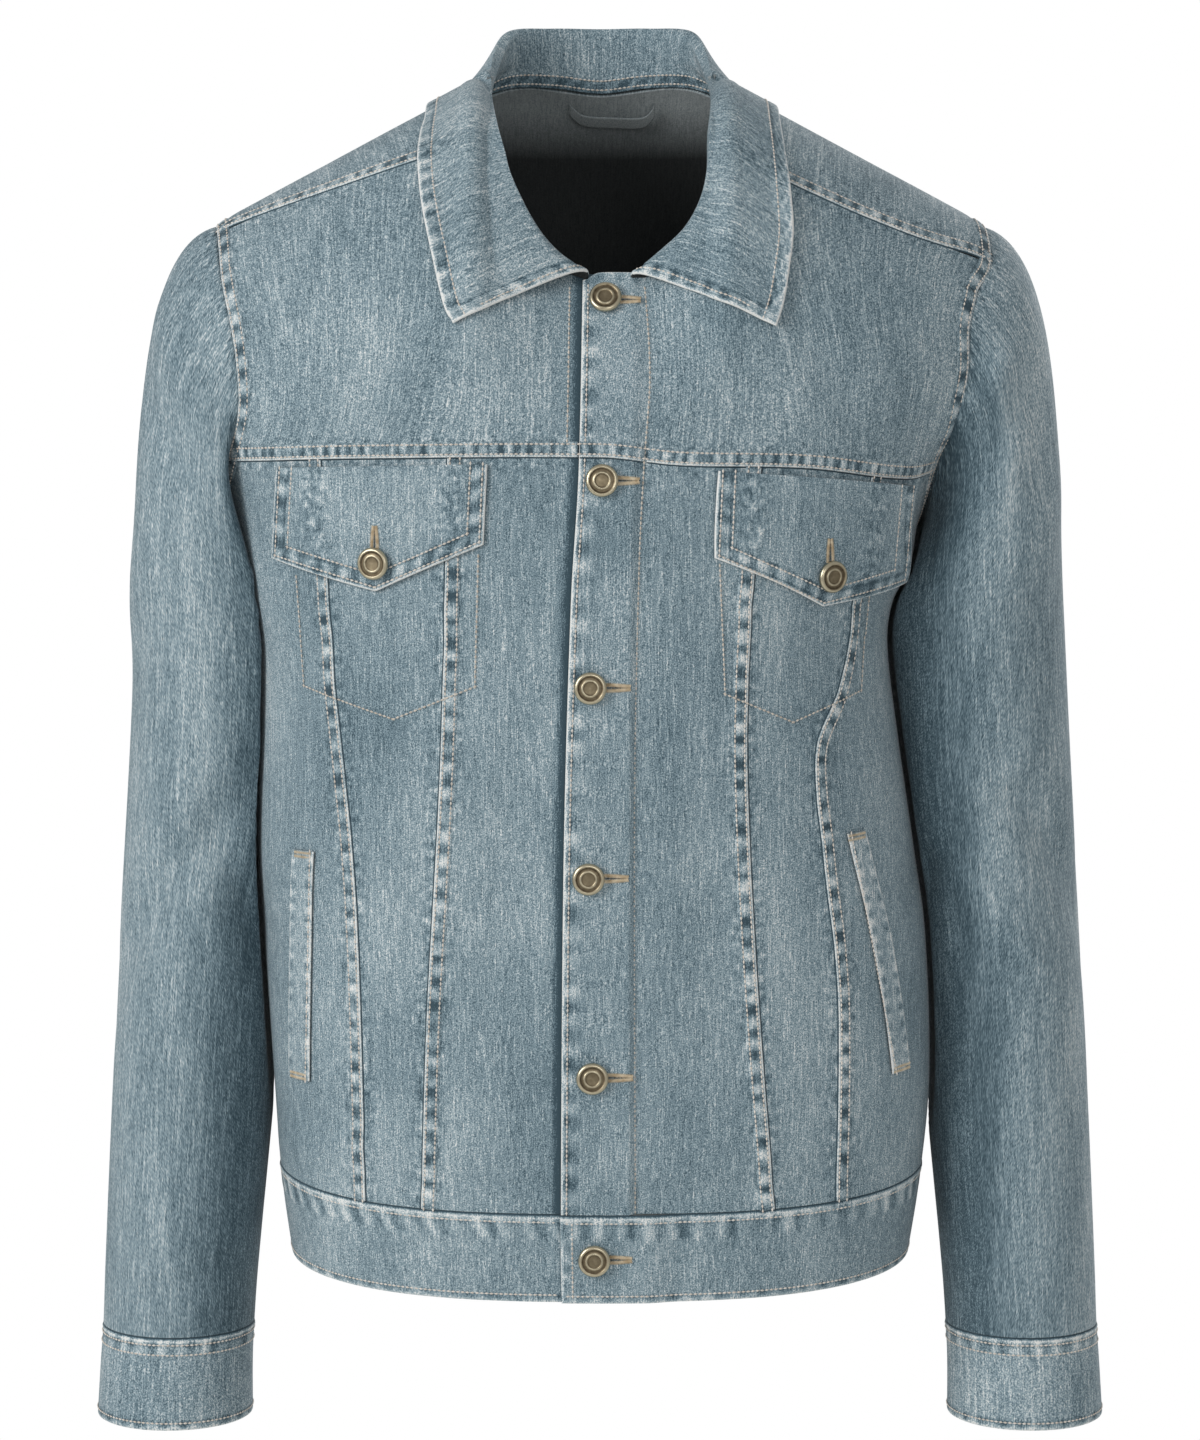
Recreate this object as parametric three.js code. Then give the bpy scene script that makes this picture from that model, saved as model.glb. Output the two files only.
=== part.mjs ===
// A denim jacket, worn and buttoned, with no wearer inside.
// Millimetres. +Z is up, the front faces -Y, and the wearer's left is at +X.
// The origin is at the neck, level with the high points of the shoulders, where a wearer holds it up.
// Every piece of cloth is a closed wall: a grid of points on a surface, and the same grid moved in.

import * as THREE from 'three';

// Cloth and seams
const CLOTH = 1.5;
const DOUBLED = 2.2;
const SEAM = 0.3;
const SEAM_INSET = 0.2;
const LAID_ON = 0.5;
const ON_TOP = LAID_ON + DOUBLED;
const LOWER_ROWS = 14;

// Torso, seen as level sections: half widths to the wearer's right and left, and depths
const TORSO = [
  { z: -640, right: 169, left: 169, front: 112, back: 100 },
  { z: -588, right: 176, left: 177, front: 114, back: 100 },
  { z: -530, right: 180, left: 182, front: 116, back: 101 },
  { z: -450, right: 185, left: 179, front: 118, back: 103 },
  { z: -400, right: 188, left: 172, front: 120, back: 106 },
  { z: -340, right: 187, left: 163, front: 122, back: 111 },
  { z: -290, right: 188, left: 157, front: 123, back: 114 },
  { z: -268, right: 192, left: 160, front: 123, back: 115 },
  { z: -250, right: 195, left: 169, front: 123, back: 115 },
  { z: -222, right: 201, left: 174, front: 123, back: 115 },
  { z: -190, right: 209, left: 186, front: 121, back: 115 },
  { z: -150, right: 220, left: 212, front: 120, back: 115 },
  { z: -97, right: 232, left: 235, front: 120, back: 115 },
  { z: 40, right: 242, left: 245, front: 120, back: 115 },
];
const SECTION_POWER = 2.4;

// Shoulders: the slope line runs from the neck side out to the tip
const SHOULDER = {
  neckSide: 68, neckHeight: 10.4, slope: 0.53, tip: 195, tipDrop: 5, tipRun: 20,
  frontFall: 150, backFall: 120,
};
const NECK_BOWL = { frontLow: -43, frontRise: 53.4, backHigh: 34, blendFrom: 56, blendTo: 74 };

// Seams of the front, as x at each height, from the yoke to the band
const INNER_SEAM = [
  { z: -590, right: -95, left: 93 },
  { z: -480, right: -91, left: 84 },
  { z: -380, right: -85, left: 78 },
  { z: -312, right: -82, left: 77 },
  { z: -186, right: -79, left: 84 },
];
const OUTER_SEAM = [
  { z: -590, right: -125, left: 126 },
  { z: -470, right: -127, left: 126 },
  { z: -400, right: -130, left: 118 },
  { z: -340, right: -136, left: 114 },
  { z: -300, right: -140, left: 129 },
  { z: -186, right: -146, left: 144 },
];
const PLACKET_EDGE = [
  { z: -640, x: -21 },
  { z: -400, x: -19 },
  { z: -261, x: -15 },
  { z: -193, x: -11 },
  { z: -80, x: -9 },
];
const PLACKET_SEAM = [
  { z: -640, x: 20 },
  { z: -365, x: 19 },
  { z: -240, x: 21.5 },
  { z: -190, x: 24 },
  { z: -142, x: 27 },
  { z: -80, x: 23 },
];
const STAND = { seam: -25, edge: 15 };
const SIDE_SEAM_TURN = THREE.MathUtils.degToRad(98);

// Seams that run across
const YOKE_SEAM = [
  { x: -200, z: -191 },
  { x: -125, z: -188 },
  { x: 0, z: -187 },
  { x: 41, z: -191 },
  { x: 108, z: -193 },
  { x: 163, z: -200 },
  { x: 180, z: -197 },
];
const YOKE_HEIGHT = -189;
const BAND = {
  seam: -586, seamRise: 9, bottom: -634, bottomRise: 6, lapFrom: 24, lapTo: 45, rows: 2, columns: 44,
};

// Armholes: from the shoulder seam down the front to the underarm, and up the back to the tip.
// Near the underarm a point is given by its turn from the front middle, in degrees, and not by x
const ARMHOLE_RIGHT_FRONT = [
  { x: 206, z: -70 }, { x: 202, z: -92 }, { x: 196, z: -117 }, { x: 192, z: -141 }, { x: 191.5, z: -166 },
  { x: 198, z: -191 }, { turn: 77, z: -207 }, { turn: 87, z: -219 },
];
const ARMHOLE_LEFT_FRONT = [
  { x: 209, z: -86 }, { x: 200, z: -102 }, { x: 195.5, z: -121 }, { x: 195, z: -143 }, { x: 189, z: -165 },
  { x: 179.5, z: -197 }, { turn: 81, z: -210 }, { turn: 89, z: -220 },
];
const ARMHOLE_BACK = [
  { turn: 104, z: -219 }, { turn: 109, z: -204 }, { turn: 115, z: -185 }, { turn: 120.5, z: -164 },
  { turn: 125, z: -142 }, { x: 190, z: -120 }, { x: 195, z: -101 }, { x: 201, z: -85 }, { x: 206, z: -73 },
];
const UNDERARM = { right: -225, left: -226 };

// Shoulder seams, forward of the slope line, and the neckline in front, from the neck side inwards
const SHOULDER_SEAM_RIGHT = [
  { x: 76, z: -26 }, { x: 108, z: -36 }, { x: 142, z: -47 }, { x: 176, z: -58 }, { x: 206, z: -70 },
];
const SHOULDER_SEAM_LEFT = [
  { x: 77, z: -34 }, { x: 108, z: -48.5 }, { x: 142, z: -63 }, { x: 176, z: -75 }, { x: 209, z: -86 },
];
const FRONT_NECK_RIGHT = [
  { x: 25, z: -89 }, { x: 44, z: -77 }, { x: 60, z: -60 }, { x: 71, z: -43 }, { x: 76, z: -26 },
];
const FRONT_NECK_LEFT = [
  { x: 23, z: -94 }, { x: 45, z: -82 }, { x: 62, z: -64 }, { x: 73, z: -48 }, { x: 77, z: -34 },
];
const NECK_CENTRE = -95;
const COLLAR_START = { right: { x: 7, z: -96 }, left: { x: 15, z: -97 } };

// Back of the neckline, as x and the tilt over the shoulder, from the wearer's right to the left
const BACK_NECK = [
  { x: -80, tilt: -8 }, { x: -74, tilt: 14 }, { x: -52, tilt: 25 }, { x: -26, tilt: 35 }, { x: 0, tilt: 37.5 },
  { x: 26, tilt: 35 }, { x: 52, tilt: 25 }, { x: 74, tilt: 14 }, { x: 80, tilt: -8 },
];
const BACK_YOKE_SEAM = -122;

// Sleeves: distances of the outer and inner sides from the middle plane, centre and depth front to back
const SLEEVE = [
  { z: -722, out: 279, in: 193, centre: -14, depth: 43 },
  { z: -690, out: 277, in: 193, centre: -12, depth: 43 },
  { z: -668, out: 275.5, in: 192, centre: -10, depth: 42 },
  { z: -640, out: 274.5, in: 190, centre: -8, depth: 44 },
  { z: -556, out: 271, in: 182, centre: 0, depth: 49 },
  { z: -445, out: 265.5, in: 172, centre: 9, depth: 56 },
  { z: -357, out: 260, in: 158, centre: 12, depth: 62 },
  { z: -270, out: 254.5, in: 152, centre: 8, depth: 67 },
];
const SLEEVE_START = -270;
const CAP_ROWS = 6;
const ARM_ROWS = 13;
const SLEEVE_CLEARANCE = 3;
const SLEEVE_SEAM = { front: 6, back: 13 };

// Cap of the sleeve: how it leaves the armhole, as shares of its drop, and how near it comes to the body
const CAP = {
  out: 0.45, outAtTop: 0.2, down: 0.6, lessDownAtTop: 0.45, arrive: 1.2, seamSteps: 1.5,
  nearest: 1.8, nearRise: 0.25, clearsAbove: 40, foldCentre: { x: 215, y: 5 },
};
const CUFF = {
  top: -668.5, bottom: -719, columns: 22, rows: 2, lapTurn: 0.3, startTurn: 2.1, lapFrom: 0.02, lapTo: 0.14,
  clearance: 1,
};

// Folds of the sleeves: a soft trough across the sleeve, its turn, height, spans and depth
const SLEEVE_FOLDS = [
  { side: 1, turn: 0.9, z: -395, along: 30, around: 0.7, slant: 60, depth: 6 },
  { side: 1, turn: 1.6, z: -440, along: 20, around: 0.8, slant: 50, depth: -4 },
  { side: 1, turn: 0.8, z: -225, along: 22, around: 0.5, slant: -40, depth: -4 },
  { side: -1, turn: 1.2, z: -420, along: 26, around: 0.8, slant: 60, depth: 6 },
  { side: -1, turn: 1.9, z: -175, along: 16, around: 0.6, slant: -70, depth: 5 },
  { side: -1, turn: 0.6, z: -250, along: 30, around: 0.6, slant: 40, depth: -3 },
  { side: 1, turn: 2.2, z: -170, along: 16, around: 0.6, slant: -70, depth: 5 },
];

// Collar sections from the wearer's right front end round the back to the left, one for each point
// of the neckline: the top of the roll r and the free edge e
const COLLAR = [
  { r: [-5, -98, -88], e: [-76, -117.5, -118] },
  { r: [-18, -97, -76.5], e: [-81, -116, -107] },
  { r: [-29, -92, -60.5], e: [-87, -109, -82] },
  { r: [-40, -84, -39], e: [-92, -99, -60] },
  { r: [-44, -76, -26.5], e: [-95, -84, -42] },
  { r: [-49, -58, -11], e: [-96, -66, -24] },
  { r: [-54, -14, 8.5], e: [-93, -32, -7] },
  { r: [-55, 22, 31], e: [-86, 40, -3] },
  { r: [-49, 45, 49], e: [-64, 84, -8] },
  { r: [-26, 60, 52], e: [-34, 99, -8] },
  { r: [0, 66, 52], e: [0, 103, -8] },
  { r: [26, 60, 52], e: [34, 99, -8] },
  { r: [49, 45, 49], e: [64, 84, -8] },
  { r: [55, 22, 31], e: [88, 40, -4] },
  { r: [55.5, -14, 9.5], e: [95, -34, -10] },
  { r: [53, -62, -10.5], e: [98.5, -72, -33] },
  { r: [50.5, -80, -34], e: [100, -92, -54] },
  { r: [46.5, -90, -49.5], e: [100.5, -100, -72] },
  { r: [39, -96, -63.5], e: [98, -109, -90] },
  { r: [30, -99, -75], e: [95, -114, -107] },
  { r: [15, -100, -89.5], e: [91, -117.5, -119] },
];
const COLLAR_ROWS = 9;
const ROLL = { reach: 0.3, back: -0.04, over: 0.22 };
const COLLAR_WALL = 2.2;
const COLLAR_CLEARANCE = 1;
const CLEARING = { from: 0.32, to: 0.56 };

// Chest pocket flaps, as corners in x and z, and the slanted welts below
const FLAP_RIGHT = {
  top: [[-168, -193], [-58, -190.5]], bottom: [[-171, -241], [-116, -257], [-60, -232]], standOff: -1.5,
};
const FLAP_LEFT = {
  top: [[61, -194], [164, -203]], bottom: [[59, -239], [115, -265], [160, -254]], standOff: 3,
};
const WELT_RIGHT = { top: [[-163, -397], [-151, -397]], bottom: [[-167, -523], [-155, -523]] };
const WELT_LEFT = { top: [[130, -387], [140, -386]], bottom: [[156, -519], [166, -518]] };
const HANGER_LOOP = { from: -18, to: 32, top: 8, height: 6, sag: 6, inside: 5.3, thickness: 1 };

// Shank buttons: radius, neck and heights above the cloth
const BUTTON = {
  radius: 8.5, neckRadius: 3.2, neck: 1.3, skirt: 1.6, rim: 3.4, crown: 4.4, crownRadius: 6.7, dish: 3.9,
  sides: 12,
};
const FRONT_BUTTONS = [
  { x: 3, z: -107 }, { x: 1, z: -199 }, { x: -5, z: -306 },
  { x: -6, z: -406 }, { x: -4, z: -512 }, { x: -3, z: -610 },
];
const FLAP_BUTTONS = { right: { x: -116, z: -242, above: 0.8 }, left: { x: 118, z: -249, above: 1.9 } };
const CUFF_BUTTON = { turn: 1.8, z: -694 };

const DENIM = { color: 0x85969e, roughness: 0.9, metalness: 0 };
const DENIM_DARK = { color: 0x76888f, roughness: 0.9, metalness: 0 };
const BRASS = { color: 0x8a7a58, roughness: 0.45, metalness: 1 };

const { lerp, clamp, smoothstep } = THREE.MathUtils;
const group = new THREE.Group();
group.name = 'denim_jacket';

// Reads a table smoothly: a cubic between its rows, with slopes from the neighbouring rows.
function read(rows, at, key, by = 'z') {
  const last = rows.length - 1;
  const up = rows[last][by] > rows[0][by] ? 1 : -1;
  if ((at - rows[0][by]) * up <= 0) return rows[0][key];
  if ((at - rows[last][by]) * up >= 0) return rows[last][key];
  let i = 0;
  while ((at - rows[i + 1][by]) * up > 0) i += 1;
  const slope = (j) => {
    const a = rows[Math.max(0, j - 1)];
    const b = rows[Math.min(last, j + 1)];
    return (b[key] - a[key]) / (b[by] - a[by]);
  };
  const run = rows[i + 1][by] - rows[i][by];
  const t = (at - rows[i][by]) / run;
  const rise = t * t * (3 - 2 * t);
  const leave = t * (1 - t) * (1 - t) * run * slope(i);
  const arrive = t * t * (t - 1) * run * slope(i + 1);
  return lerp(rows[i][key], rows[i + 1][key], rise) + leave + arrive;
}

// Height of the top of the shoulders at x, in front or behind.
function ridge(x, behind) {
  const a = Math.abs(x);
  const past = Math.max(0, (a - SHOULDER.tip) / SHOULDER.tipRun);
  const line = SHOULDER.neckHeight - SHOULDER.slope * (a - SHOULDER.neckSide) - SHOULDER.tipDrop * past * past;
  if (behind) return lerp(NECK_BOWL.backHigh, line, smoothstep(a, 0, NECK_BOWL.blendTo));
  const bowl = NECK_BOWL.frontLow + NECK_BOWL.frontRise * (a / SHOULDER.neckSide) ** 2;
  return lerp(bowl, line, smoothstep(a, NECK_BOWL.blendFrom, NECK_BOWL.blendTo));
}

function halfWidth(x, z) {
  return read(TORSO, z, x < 0 ? 'right' : 'left');
}

// How full the section is at x and z: 1 at the middle, 0 at the side, less where the shoulders round over.
function fullness(x, z, behind) {
  const across = Math.max(0, 1 - Math.min(1, Math.abs(x) / halfWidth(x, z)) ** SECTION_POWER);
  const fall = behind ? SHOULDER.backFall : SHOULDER.frontFall;
  const down = clamp((ridge(x, behind) - z) / fall, 0, 1);
  return across ** (1 / SECTION_POWER) * Math.sqrt(1 - (1 - down) ** 2);
}

// The torso in front or behind, as a point at x and z.
function front(x, z) {
  return new THREE.Vector3(x, -read(TORSO, z, 'front') * fullness(x, z, false), z);
}

// The torso over the shoulder: tilt 0 is the top, negative in front, in radians. Past a quarter turn it hangs.
function overShoulder(x, tilt) {
  const behind = tilt > 0;
  const fall = behind ? SHOULDER.backFall : SHOULDER.frontFall;
  const bend = Math.min(Math.abs(tilt), Math.PI / 2);
  const z = ridge(x, behind) - fall * (1 - Math.cos(bend) + Math.abs(tilt) - bend);
  const depth = read(TORSO, z, behind ? 'back' : 'front');
  const across = Math.max(0, 1 - Math.min(1, Math.abs(x) / halfWidth(x, z)) ** SECTION_POWER);
  return new THREE.Vector3(x, Math.sign(tilt) * depth * across ** (1 / SECTION_POWER) * Math.sin(bend), z);
}

// The torso all round, by the turn from the front middle towards the wearer's left, in radians.
function around(turn, z) {
  const s = Math.sin(turn);
  const c = Math.cos(turn);
  const reach = (Math.abs(s) ** SECTION_POWER + Math.abs(c) ** SECTION_POWER) ** (-1 / SECTION_POWER);
  const behind = c < 0;
  const x = halfWidth(s, z) * reach * s;
  const fall = behind ? SHOULDER.backFall : SHOULDER.frontFall;
  const down = clamp((ridge(x, behind) - z) / fall, 0, 1);
  const depth = read(TORSO, z, behind ? 'back' : 'front') * Math.sqrt(1 - (1 - down) ** 2);
  return new THREE.Vector3(x, -depth * reach * c, z);
}

// The turn of the point at x and z.
function turnAt(x, z, behind = false) {
  const a = Math.min(1, Math.abs(x) / halfWidth(x, z));
  const c = (1 - a ** SECTION_POWER) ** (1 / SECTION_POWER);
  return Math.sign(x) * Math.atan2(a, behind ? -c : c);
}

// The tilt over the shoulder of the point at x and z.
function tiltAt(x, z, behind = false) {
  const fall = behind ? SHOULDER.backFall : SHOULDER.frontFall;
  const down = (ridge(x, behind) - z) / fall;
  const tilt = down > 1 ? Math.PI / 2 + down - 1 : Math.acos(Math.min(1, 1 - down));
  return behind ? tilt : -tilt;
}

// The outward direction of a surface with its parameters running left to right and up or over.
function outward(surface, u, v) {
  const step = 1e-3;
  const du = surface(u + step, v).sub(surface(u - step, v));
  const dv = surface(u, v + step).sub(surface(u, v - step));
  return du.cross(dv).normalize();
}

// Blends four edges into a grid of parameter pairs, a Coons patch.
function patch({ bottom, top, left, right }) {
  const columns = bottom.length - 1;
  const rows = left.length - 1;
  const mix = (i, j, k) => {
    const f = i / columns;
    const t = j / rows;
    const ruled = lerp(bottom[i][k], top[i][k], t) + lerp(left[j][k], right[j][k], f);
    const corners = lerp(lerp(bottom[0][k], bottom[columns][k], f), lerp(top[0][k], top[columns][k], f), t);
    return ruled - corners;
  };
  return bottom.map((_, i) => left.map((__, j) => [mix(i, j, 0), mix(i, j, 1)]));
}

// Puts a grid of parameter pairs on a surface, with the seam gap at its four edges.
function lay(surface, grid, lift = 0, gap = SEAM_INSET) {
  const columns = grid.length - 1;
  const rows = grid[0].length - 1;
  const cells = grid.map((line) => line.map(([u, v]) => {
    const normal = outward(surface, u, v);
    return { point: surface(u, v).addScaledVector(normal, lift), normal };
  }));
  const inset = (from, to) => {
    const step = to.point.clone().sub(from.point);
    return from.point.clone().addScaledVector(step.normalize(), gap);
  };
  const moved = cells.map((line) => line.map(({ point, normal }) => ({ point: point.clone(), normal })));
  const shift = (i, j, ni, nj) => {
    moved[i][j].point.add(inset(cells[i][j], cells[ni][nj]).sub(cells[i][j].point));
  };
  for (let j = 0; j <= rows; j += 1) {
    shift(0, j, 1, j);
    shift(columns, j, columns - 1, j);
  }
  for (let i = 0; i <= columns; i += 1) {
    shift(i, 0, i, 1);
    shift(i, rows, i, rows - 1);
  }
  return moved;
}

// Makes a closed wall from a grid of points with their outward directions.
function wall(cells, thickness) {
  const columns = cells.length;
  const rows = cells[0].length;
  const positions = [];
  for (const depth of [0, thickness]) {
    for (const line of cells) {
      for (const { point, normal } of line) {
        positions.push(...point.clone().addScaledVector(normal, -depth).toArray());
      }
    }
  }
  const outer = (i, j) => i * rows + j;
  const inner = (i, j) => columns * rows + outer(i, j);
  const index = [];
  const quad = (a, b, c, d) => index.push(a, b, c, a, c, d);
  for (let i = 0; i < columns - 1; i += 1) {
    for (let j = 0; j < rows - 1; j += 1) {
      quad(outer(i, j), outer(i + 1, j), outer(i + 1, j + 1), outer(i, j + 1));
      quad(inner(i, j), inner(i, j + 1), inner(i + 1, j + 1), inner(i + 1, j));
    }
    quad(outer(i + 1, 0), outer(i, 0), inner(i, 0), inner(i + 1, 0));
    quad(outer(i, rows - 1), outer(i + 1, rows - 1), inner(i + 1, rows - 1), inner(i, rows - 1));
  }
  for (let j = 0; j < rows - 1; j += 1) {
    quad(outer(0, j), outer(0, j + 1), inner(0, j + 1), inner(0, j));
    quad(outer(columns - 1, j + 1), outer(columns - 1, j), inner(columns - 1, j), inner(columns - 1, j + 1));
  }
  const geometry = new THREE.BufferGeometry();
  geometry.setAttribute('position', new THREE.Float32BufferAttribute(positions, 3));
  geometry.setIndex(index);
  if (volume(geometry) < 0) {
    for (let k = 0; k < index.length; k += 3) [index[k], index[k + 1]] = [index[k + 1], index[k]];
    geometry.setIndex(index);
  }
  geometry.computeVertexNormals();
  return geometry;
}

// Six times the signed volume inside a mesh.
function volume(geometry) {
  const p = geometry.attributes.position;
  const corner = (k) => new THREE.Vector3().fromBufferAttribute(p, geometry.index.getX(k));
  let sum = 0;
  for (let k = 0; k < geometry.index.count; k += 3) sum += corner(k).dot(corner(k + 1).cross(corner(k + 2)));
  return sum;
}

function add(name, geometry, look = DENIM) {
  const mesh = new THREE.Mesh(geometry, new THREE.MeshStandardMaterial(look));
  mesh.name = name;
  group.add(mesh);
}

const steps = (count) => Array.from({ length: count + 1 }, (_, i) => i / count);

// Evenly spaced points along a list of them, both ends included.
function spread(points, count) {
  return steps(count).map((t) => {
    const at = t * (points.length - 1);
    const i = Math.min(points.length - 2, Math.floor(at));
    return [0, 1].map((k) => lerp(points[i][k], points[i + 1][k], at - i));
  });
}

const SIDES = {
  right: {
    sign: -1, armholeFront: ARMHOLE_RIGHT_FRONT, shoulderSeam: SHOULDER_SEAM_RIGHT, neck: FRONT_NECK_RIGHT,
  },
  left: {
    sign: 1, armholeFront: ARMHOLE_LEFT_FRONT, shoulderSeam: SHOULDER_SEAM_LEFT, neck: FRONT_NECK_LEFT,
  },
};

// The armhole as stations: 0 the shoulder tip, 1 to 8 the front, 9 the underarm, 10 to 18 the back.
// Each has its x, z and face, and its place as a turn and as a tilt.
function armhole(side) {
  const { sign, armholeFront } = SIDES[side];
  const station = ({ x, turn, z }, behind) => {
    if (turn !== undefined) return { turn: sign * THREE.MathUtils.degToRad(turn), z };
    return { x: sign * x, z, behind, turn: turnAt(sign * x, z, behind), tilt: tiltAt(sign * x, z, behind) };
  };
  const tipX = ARMHOLE_BACK[ARMHOLE_BACK.length - 1].x + 2;
  const tip = { x: sign * tipX, z: ridge(tipX, false), behind: false, tilt: 0 };
  const underarm = { z: UNDERARM[side], turn: sign * SIDE_SEAM_TURN };
  return [
    tip,
    ...armholeFront.map((place) => station(place, false)),
    underarm,
    ...ARMHOLE_BACK.map((place) => station(place, true)),
  ];
}

const HOLE_CENTRE = { x: 195, y: 0, z: -145 };
const STATIONS = { tip: 0, shoulderSeam: 1, frontYoke: 6, underarm: 9, backYoke: 15, last: 18 };
const HOLES = { right: armhole('right'), left: armhole('left') };

function stationPoint({ x, z, turn, tilt }) {
  return turn === undefined ? overShoulder(x, tilt) : around(turn, z);
}

function stationNormal({ x, z, turn, tilt }) {
  return turn === undefined ? outward(overShoulder, x, tilt) : outward(around, turn, z);
}

function bandSeam(turn) {
  return BAND.seam + BAND.seamRise * Math.sin(turn) ** 4;
}

function bandBottom(turn) {
  return BAND.bottom + BAND.bottomRise * Math.sin(turn) ** 4;
}

// Seam x at the yoke, where a front seam starts.
function seamTop(seam, side) {
  const z = read(YOKE_SEAM, read(seam, YOKE_HEIGHT, side), 'z', 'x');
  return { x: read(seam, z, side), z };
}

// A seam of the front from the band to the yoke, as turns and heights.
function downSeam(xAt, topZ) {
  const bottomZ = bandSeam(turnAt(xAt(BAND.seam), BAND.seam));
  return steps(LOWER_ROWS).map((t) => {
    const z = lerp(bottomZ, topZ, t);
    return [turnAt(xAt(z), z), z];
  });
}

function sideSeam(side) {
  const turn = SIDES[side].sign * SIDE_SEAM_TURN;
  return steps(LOWER_ROWS).map((t) => [turn, lerp(bandSeam(turn), UNDERARM[side], t)]);
}

function alongYoke(fromX, toX, count) {
  return steps(count).map((t) => {
    const x = lerp(fromX, toX, t);
    const z = read(YOKE_SEAM, x, 'z', 'x');
    return [turnAt(x, z), z];
  });
}

function alongBand(fromTurn, toTurn, count) {
  return steps(count).map((t) => {
    const turn = lerp(fromTurn, toTurn, t);
    return [turn, bandSeam(turn)];
  });
}

const FRONT_COLUMNS = { centre: 3, middle: 3, side: 2 };
const centreX = { right: () => STAND.seam, left: (z) => read(PLACKET_SEAM, z, 'x') };

// Lower front: centre, middle and side panels, each between two seams.
function lowerFront(side) {
  const inner = seamTop(INNER_SEAM, side);
  const outer = seamTop(OUTER_SEAM, side);
  const centreZ = read(YOKE_SEAM, centreX[side](YOKE_HEIGHT), 'z', 'x');
  const seams = {
    centre: downSeam(centreX[side], centreZ),
    inner: downSeam((z) => read(INNER_SEAM, z, side), inner.z),
    outer: downSeam((z) => read(OUTER_SEAM, z, side), outer.z),
    side: sideSeam(side),
  };
  const hole = HOLES[side];
  const cornerX = hole[STATIONS.frontYoke].x;
  const tops = {
    centre: alongYoke(centreX[side](centreZ), inner.x, FRONT_COLUMNS.centre),
    middle: alongYoke(inner.x, outer.x, FRONT_COLUMNS.middle),
    side: [
      ...alongYoke(outer.x, cornerX, FRONT_COLUMNS.side),
      ...hole.slice(STATIONS.frontYoke + 1, STATIONS.underarm + 1).map(({ turn, z }) => [turn, z]),
    ],
  };
  const panel = (name, left, right, top) => {
    const bottom = alongBand(left[0][0], right[0][0], top.length - 1);
    add(`front_${name}_${side}`, wall(lay(around, patch({ bottom, top, left, right })), CLOTH));
  };
  panel('centre', seams.centre, seams.inner, tops.centre);
  panel('middle', seams.inner, seams.outer, tops.middle);
  panel('side', seams.outer, seams.side, tops.side);
}

// Front yoke, from the yoke seam up to the neckline and the shoulder seam.
function frontYoke(side) {
  const { sign, shoulderSeam, neck } = SIDES[side];
  const inner = seamTop(INNER_SEAM, side);
  const outer = seamTop(OUTER_SEAM, side);
  const corner = HOLES[side][STATIONS.frontYoke];
  const yoke = (fromX, toX, count) => steps(count).map((t) => {
    const x = lerp(fromX, toX, t);
    return [x, read(YOKE_SEAM, x, 'z', 'x')];
  });
  const edgeX = sign * neck[0].x;
  const bottom = [
    ...yoke(centreX[side](YOKE_HEIGHT), inner.x, FRONT_COLUMNS.centre),
    ...yoke(inner.x, outer.x, FRONT_COLUMNS.middle).slice(1),
    ...yoke(outer.x, corner.x, FRONT_COLUMNS.side).slice(1),
  ];
  bottom[bottom.length - 1][1] = corner.z;
  const top = [...neck.slice(0, -1), ...shoulderSeam].map(({ x, z }) => [sign * x, z]);
  const holeFront = HOLES[side].slice(STATIONS.shoulderSeam, STATIONS.frontYoke + 1);
  const right = holeFront.reverse().map(({ x, z }) => [x, z]);
  const left = steps(right.length - 1).map((t) => {
    const z = lerp(bottom[0][1], top[0][1], t);
    return [side === 'left' ? read(PLACKET_SEAM, z, 'x') : edgeX, z];
  });
  add(`front_yoke_${side}`, wall(lay(front, patch({ bottom, top, left, right })), CLOTH));
}

// Back yoke, from the two shoulder seams and the back of the neck down to the back yoke seam.
function backYoke() {
  const seam = (side) => SIDES[side].shoulderSeam.map(({ x, z }) => {
    const at = SIDES[side].sign * x;
    return [at, tiltAt(at, z)];
  });
  const neck = BACK_NECK.map(({ x, tilt }) => [x, THREE.MathUtils.degToRad(tilt)]);
  const top = [...seam('right').reverse(), ...neck, ...seam('left')];
  const edge = (side) => {
    const hole = HOLES[side];
    const run = [hole[STATIONS.shoulderSeam], hole[STATIONS.tip], ...hole.slice(STATIONS.backYoke).reverse()];
    return run.reverse().map(({ x, z, behind, tilt }) => [x, tilt ?? tiltAt(x, z, behind)]);
  };
  const right = edge('right');
  const left = edge('left');
  const bottom = steps(top.length - 1).map((t) => {
    const x = lerp(right[0][0], left[0][0], t);
    return [x, tiltAt(x, lerp(ARMHOLE_BACK[5].z, BACK_YOKE_SEAM, Math.sin(Math.PI * t)), true)];
  });
  const grid = patch({ bottom, top, left: right, right: left });
  add('back_yoke', wall(lay(overShoulder, grid), CLOTH), DENIM_DARK);
  return bottom;
}

// Back, in one piece, from side seam to side seam.
function back(yokeSeam) {
  const edge = (side) => HOLES[side].slice(STATIONS.underarm, STATIONS.backYoke);
  const pair = ({ turn, z }) => [turn < 0 ? turn + 2 * Math.PI : turn, z];
  const across = yokeSeam.map(([x, tilt]) => {
    const { z } = overShoulder(x, tilt);
    return pair({ turn: x === 0 ? Math.PI : turnAt(x, z, true), z });
  });
  const top = [...edge('left').map(pair), ...across.reverse(), ...edge('right').reverse().map(pair)];
  const left = sideSeam('left');
  const right = sideSeam('right').map(([turn, z]) => pair({ turn, z }));
  const bottom = alongBand(left[0][0], right[0][0], top.length - 1);
  add('back', wall(lay(around, patch({ bottom, top, left, right })), CLOTH), DENIM_DARK);
}

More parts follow.
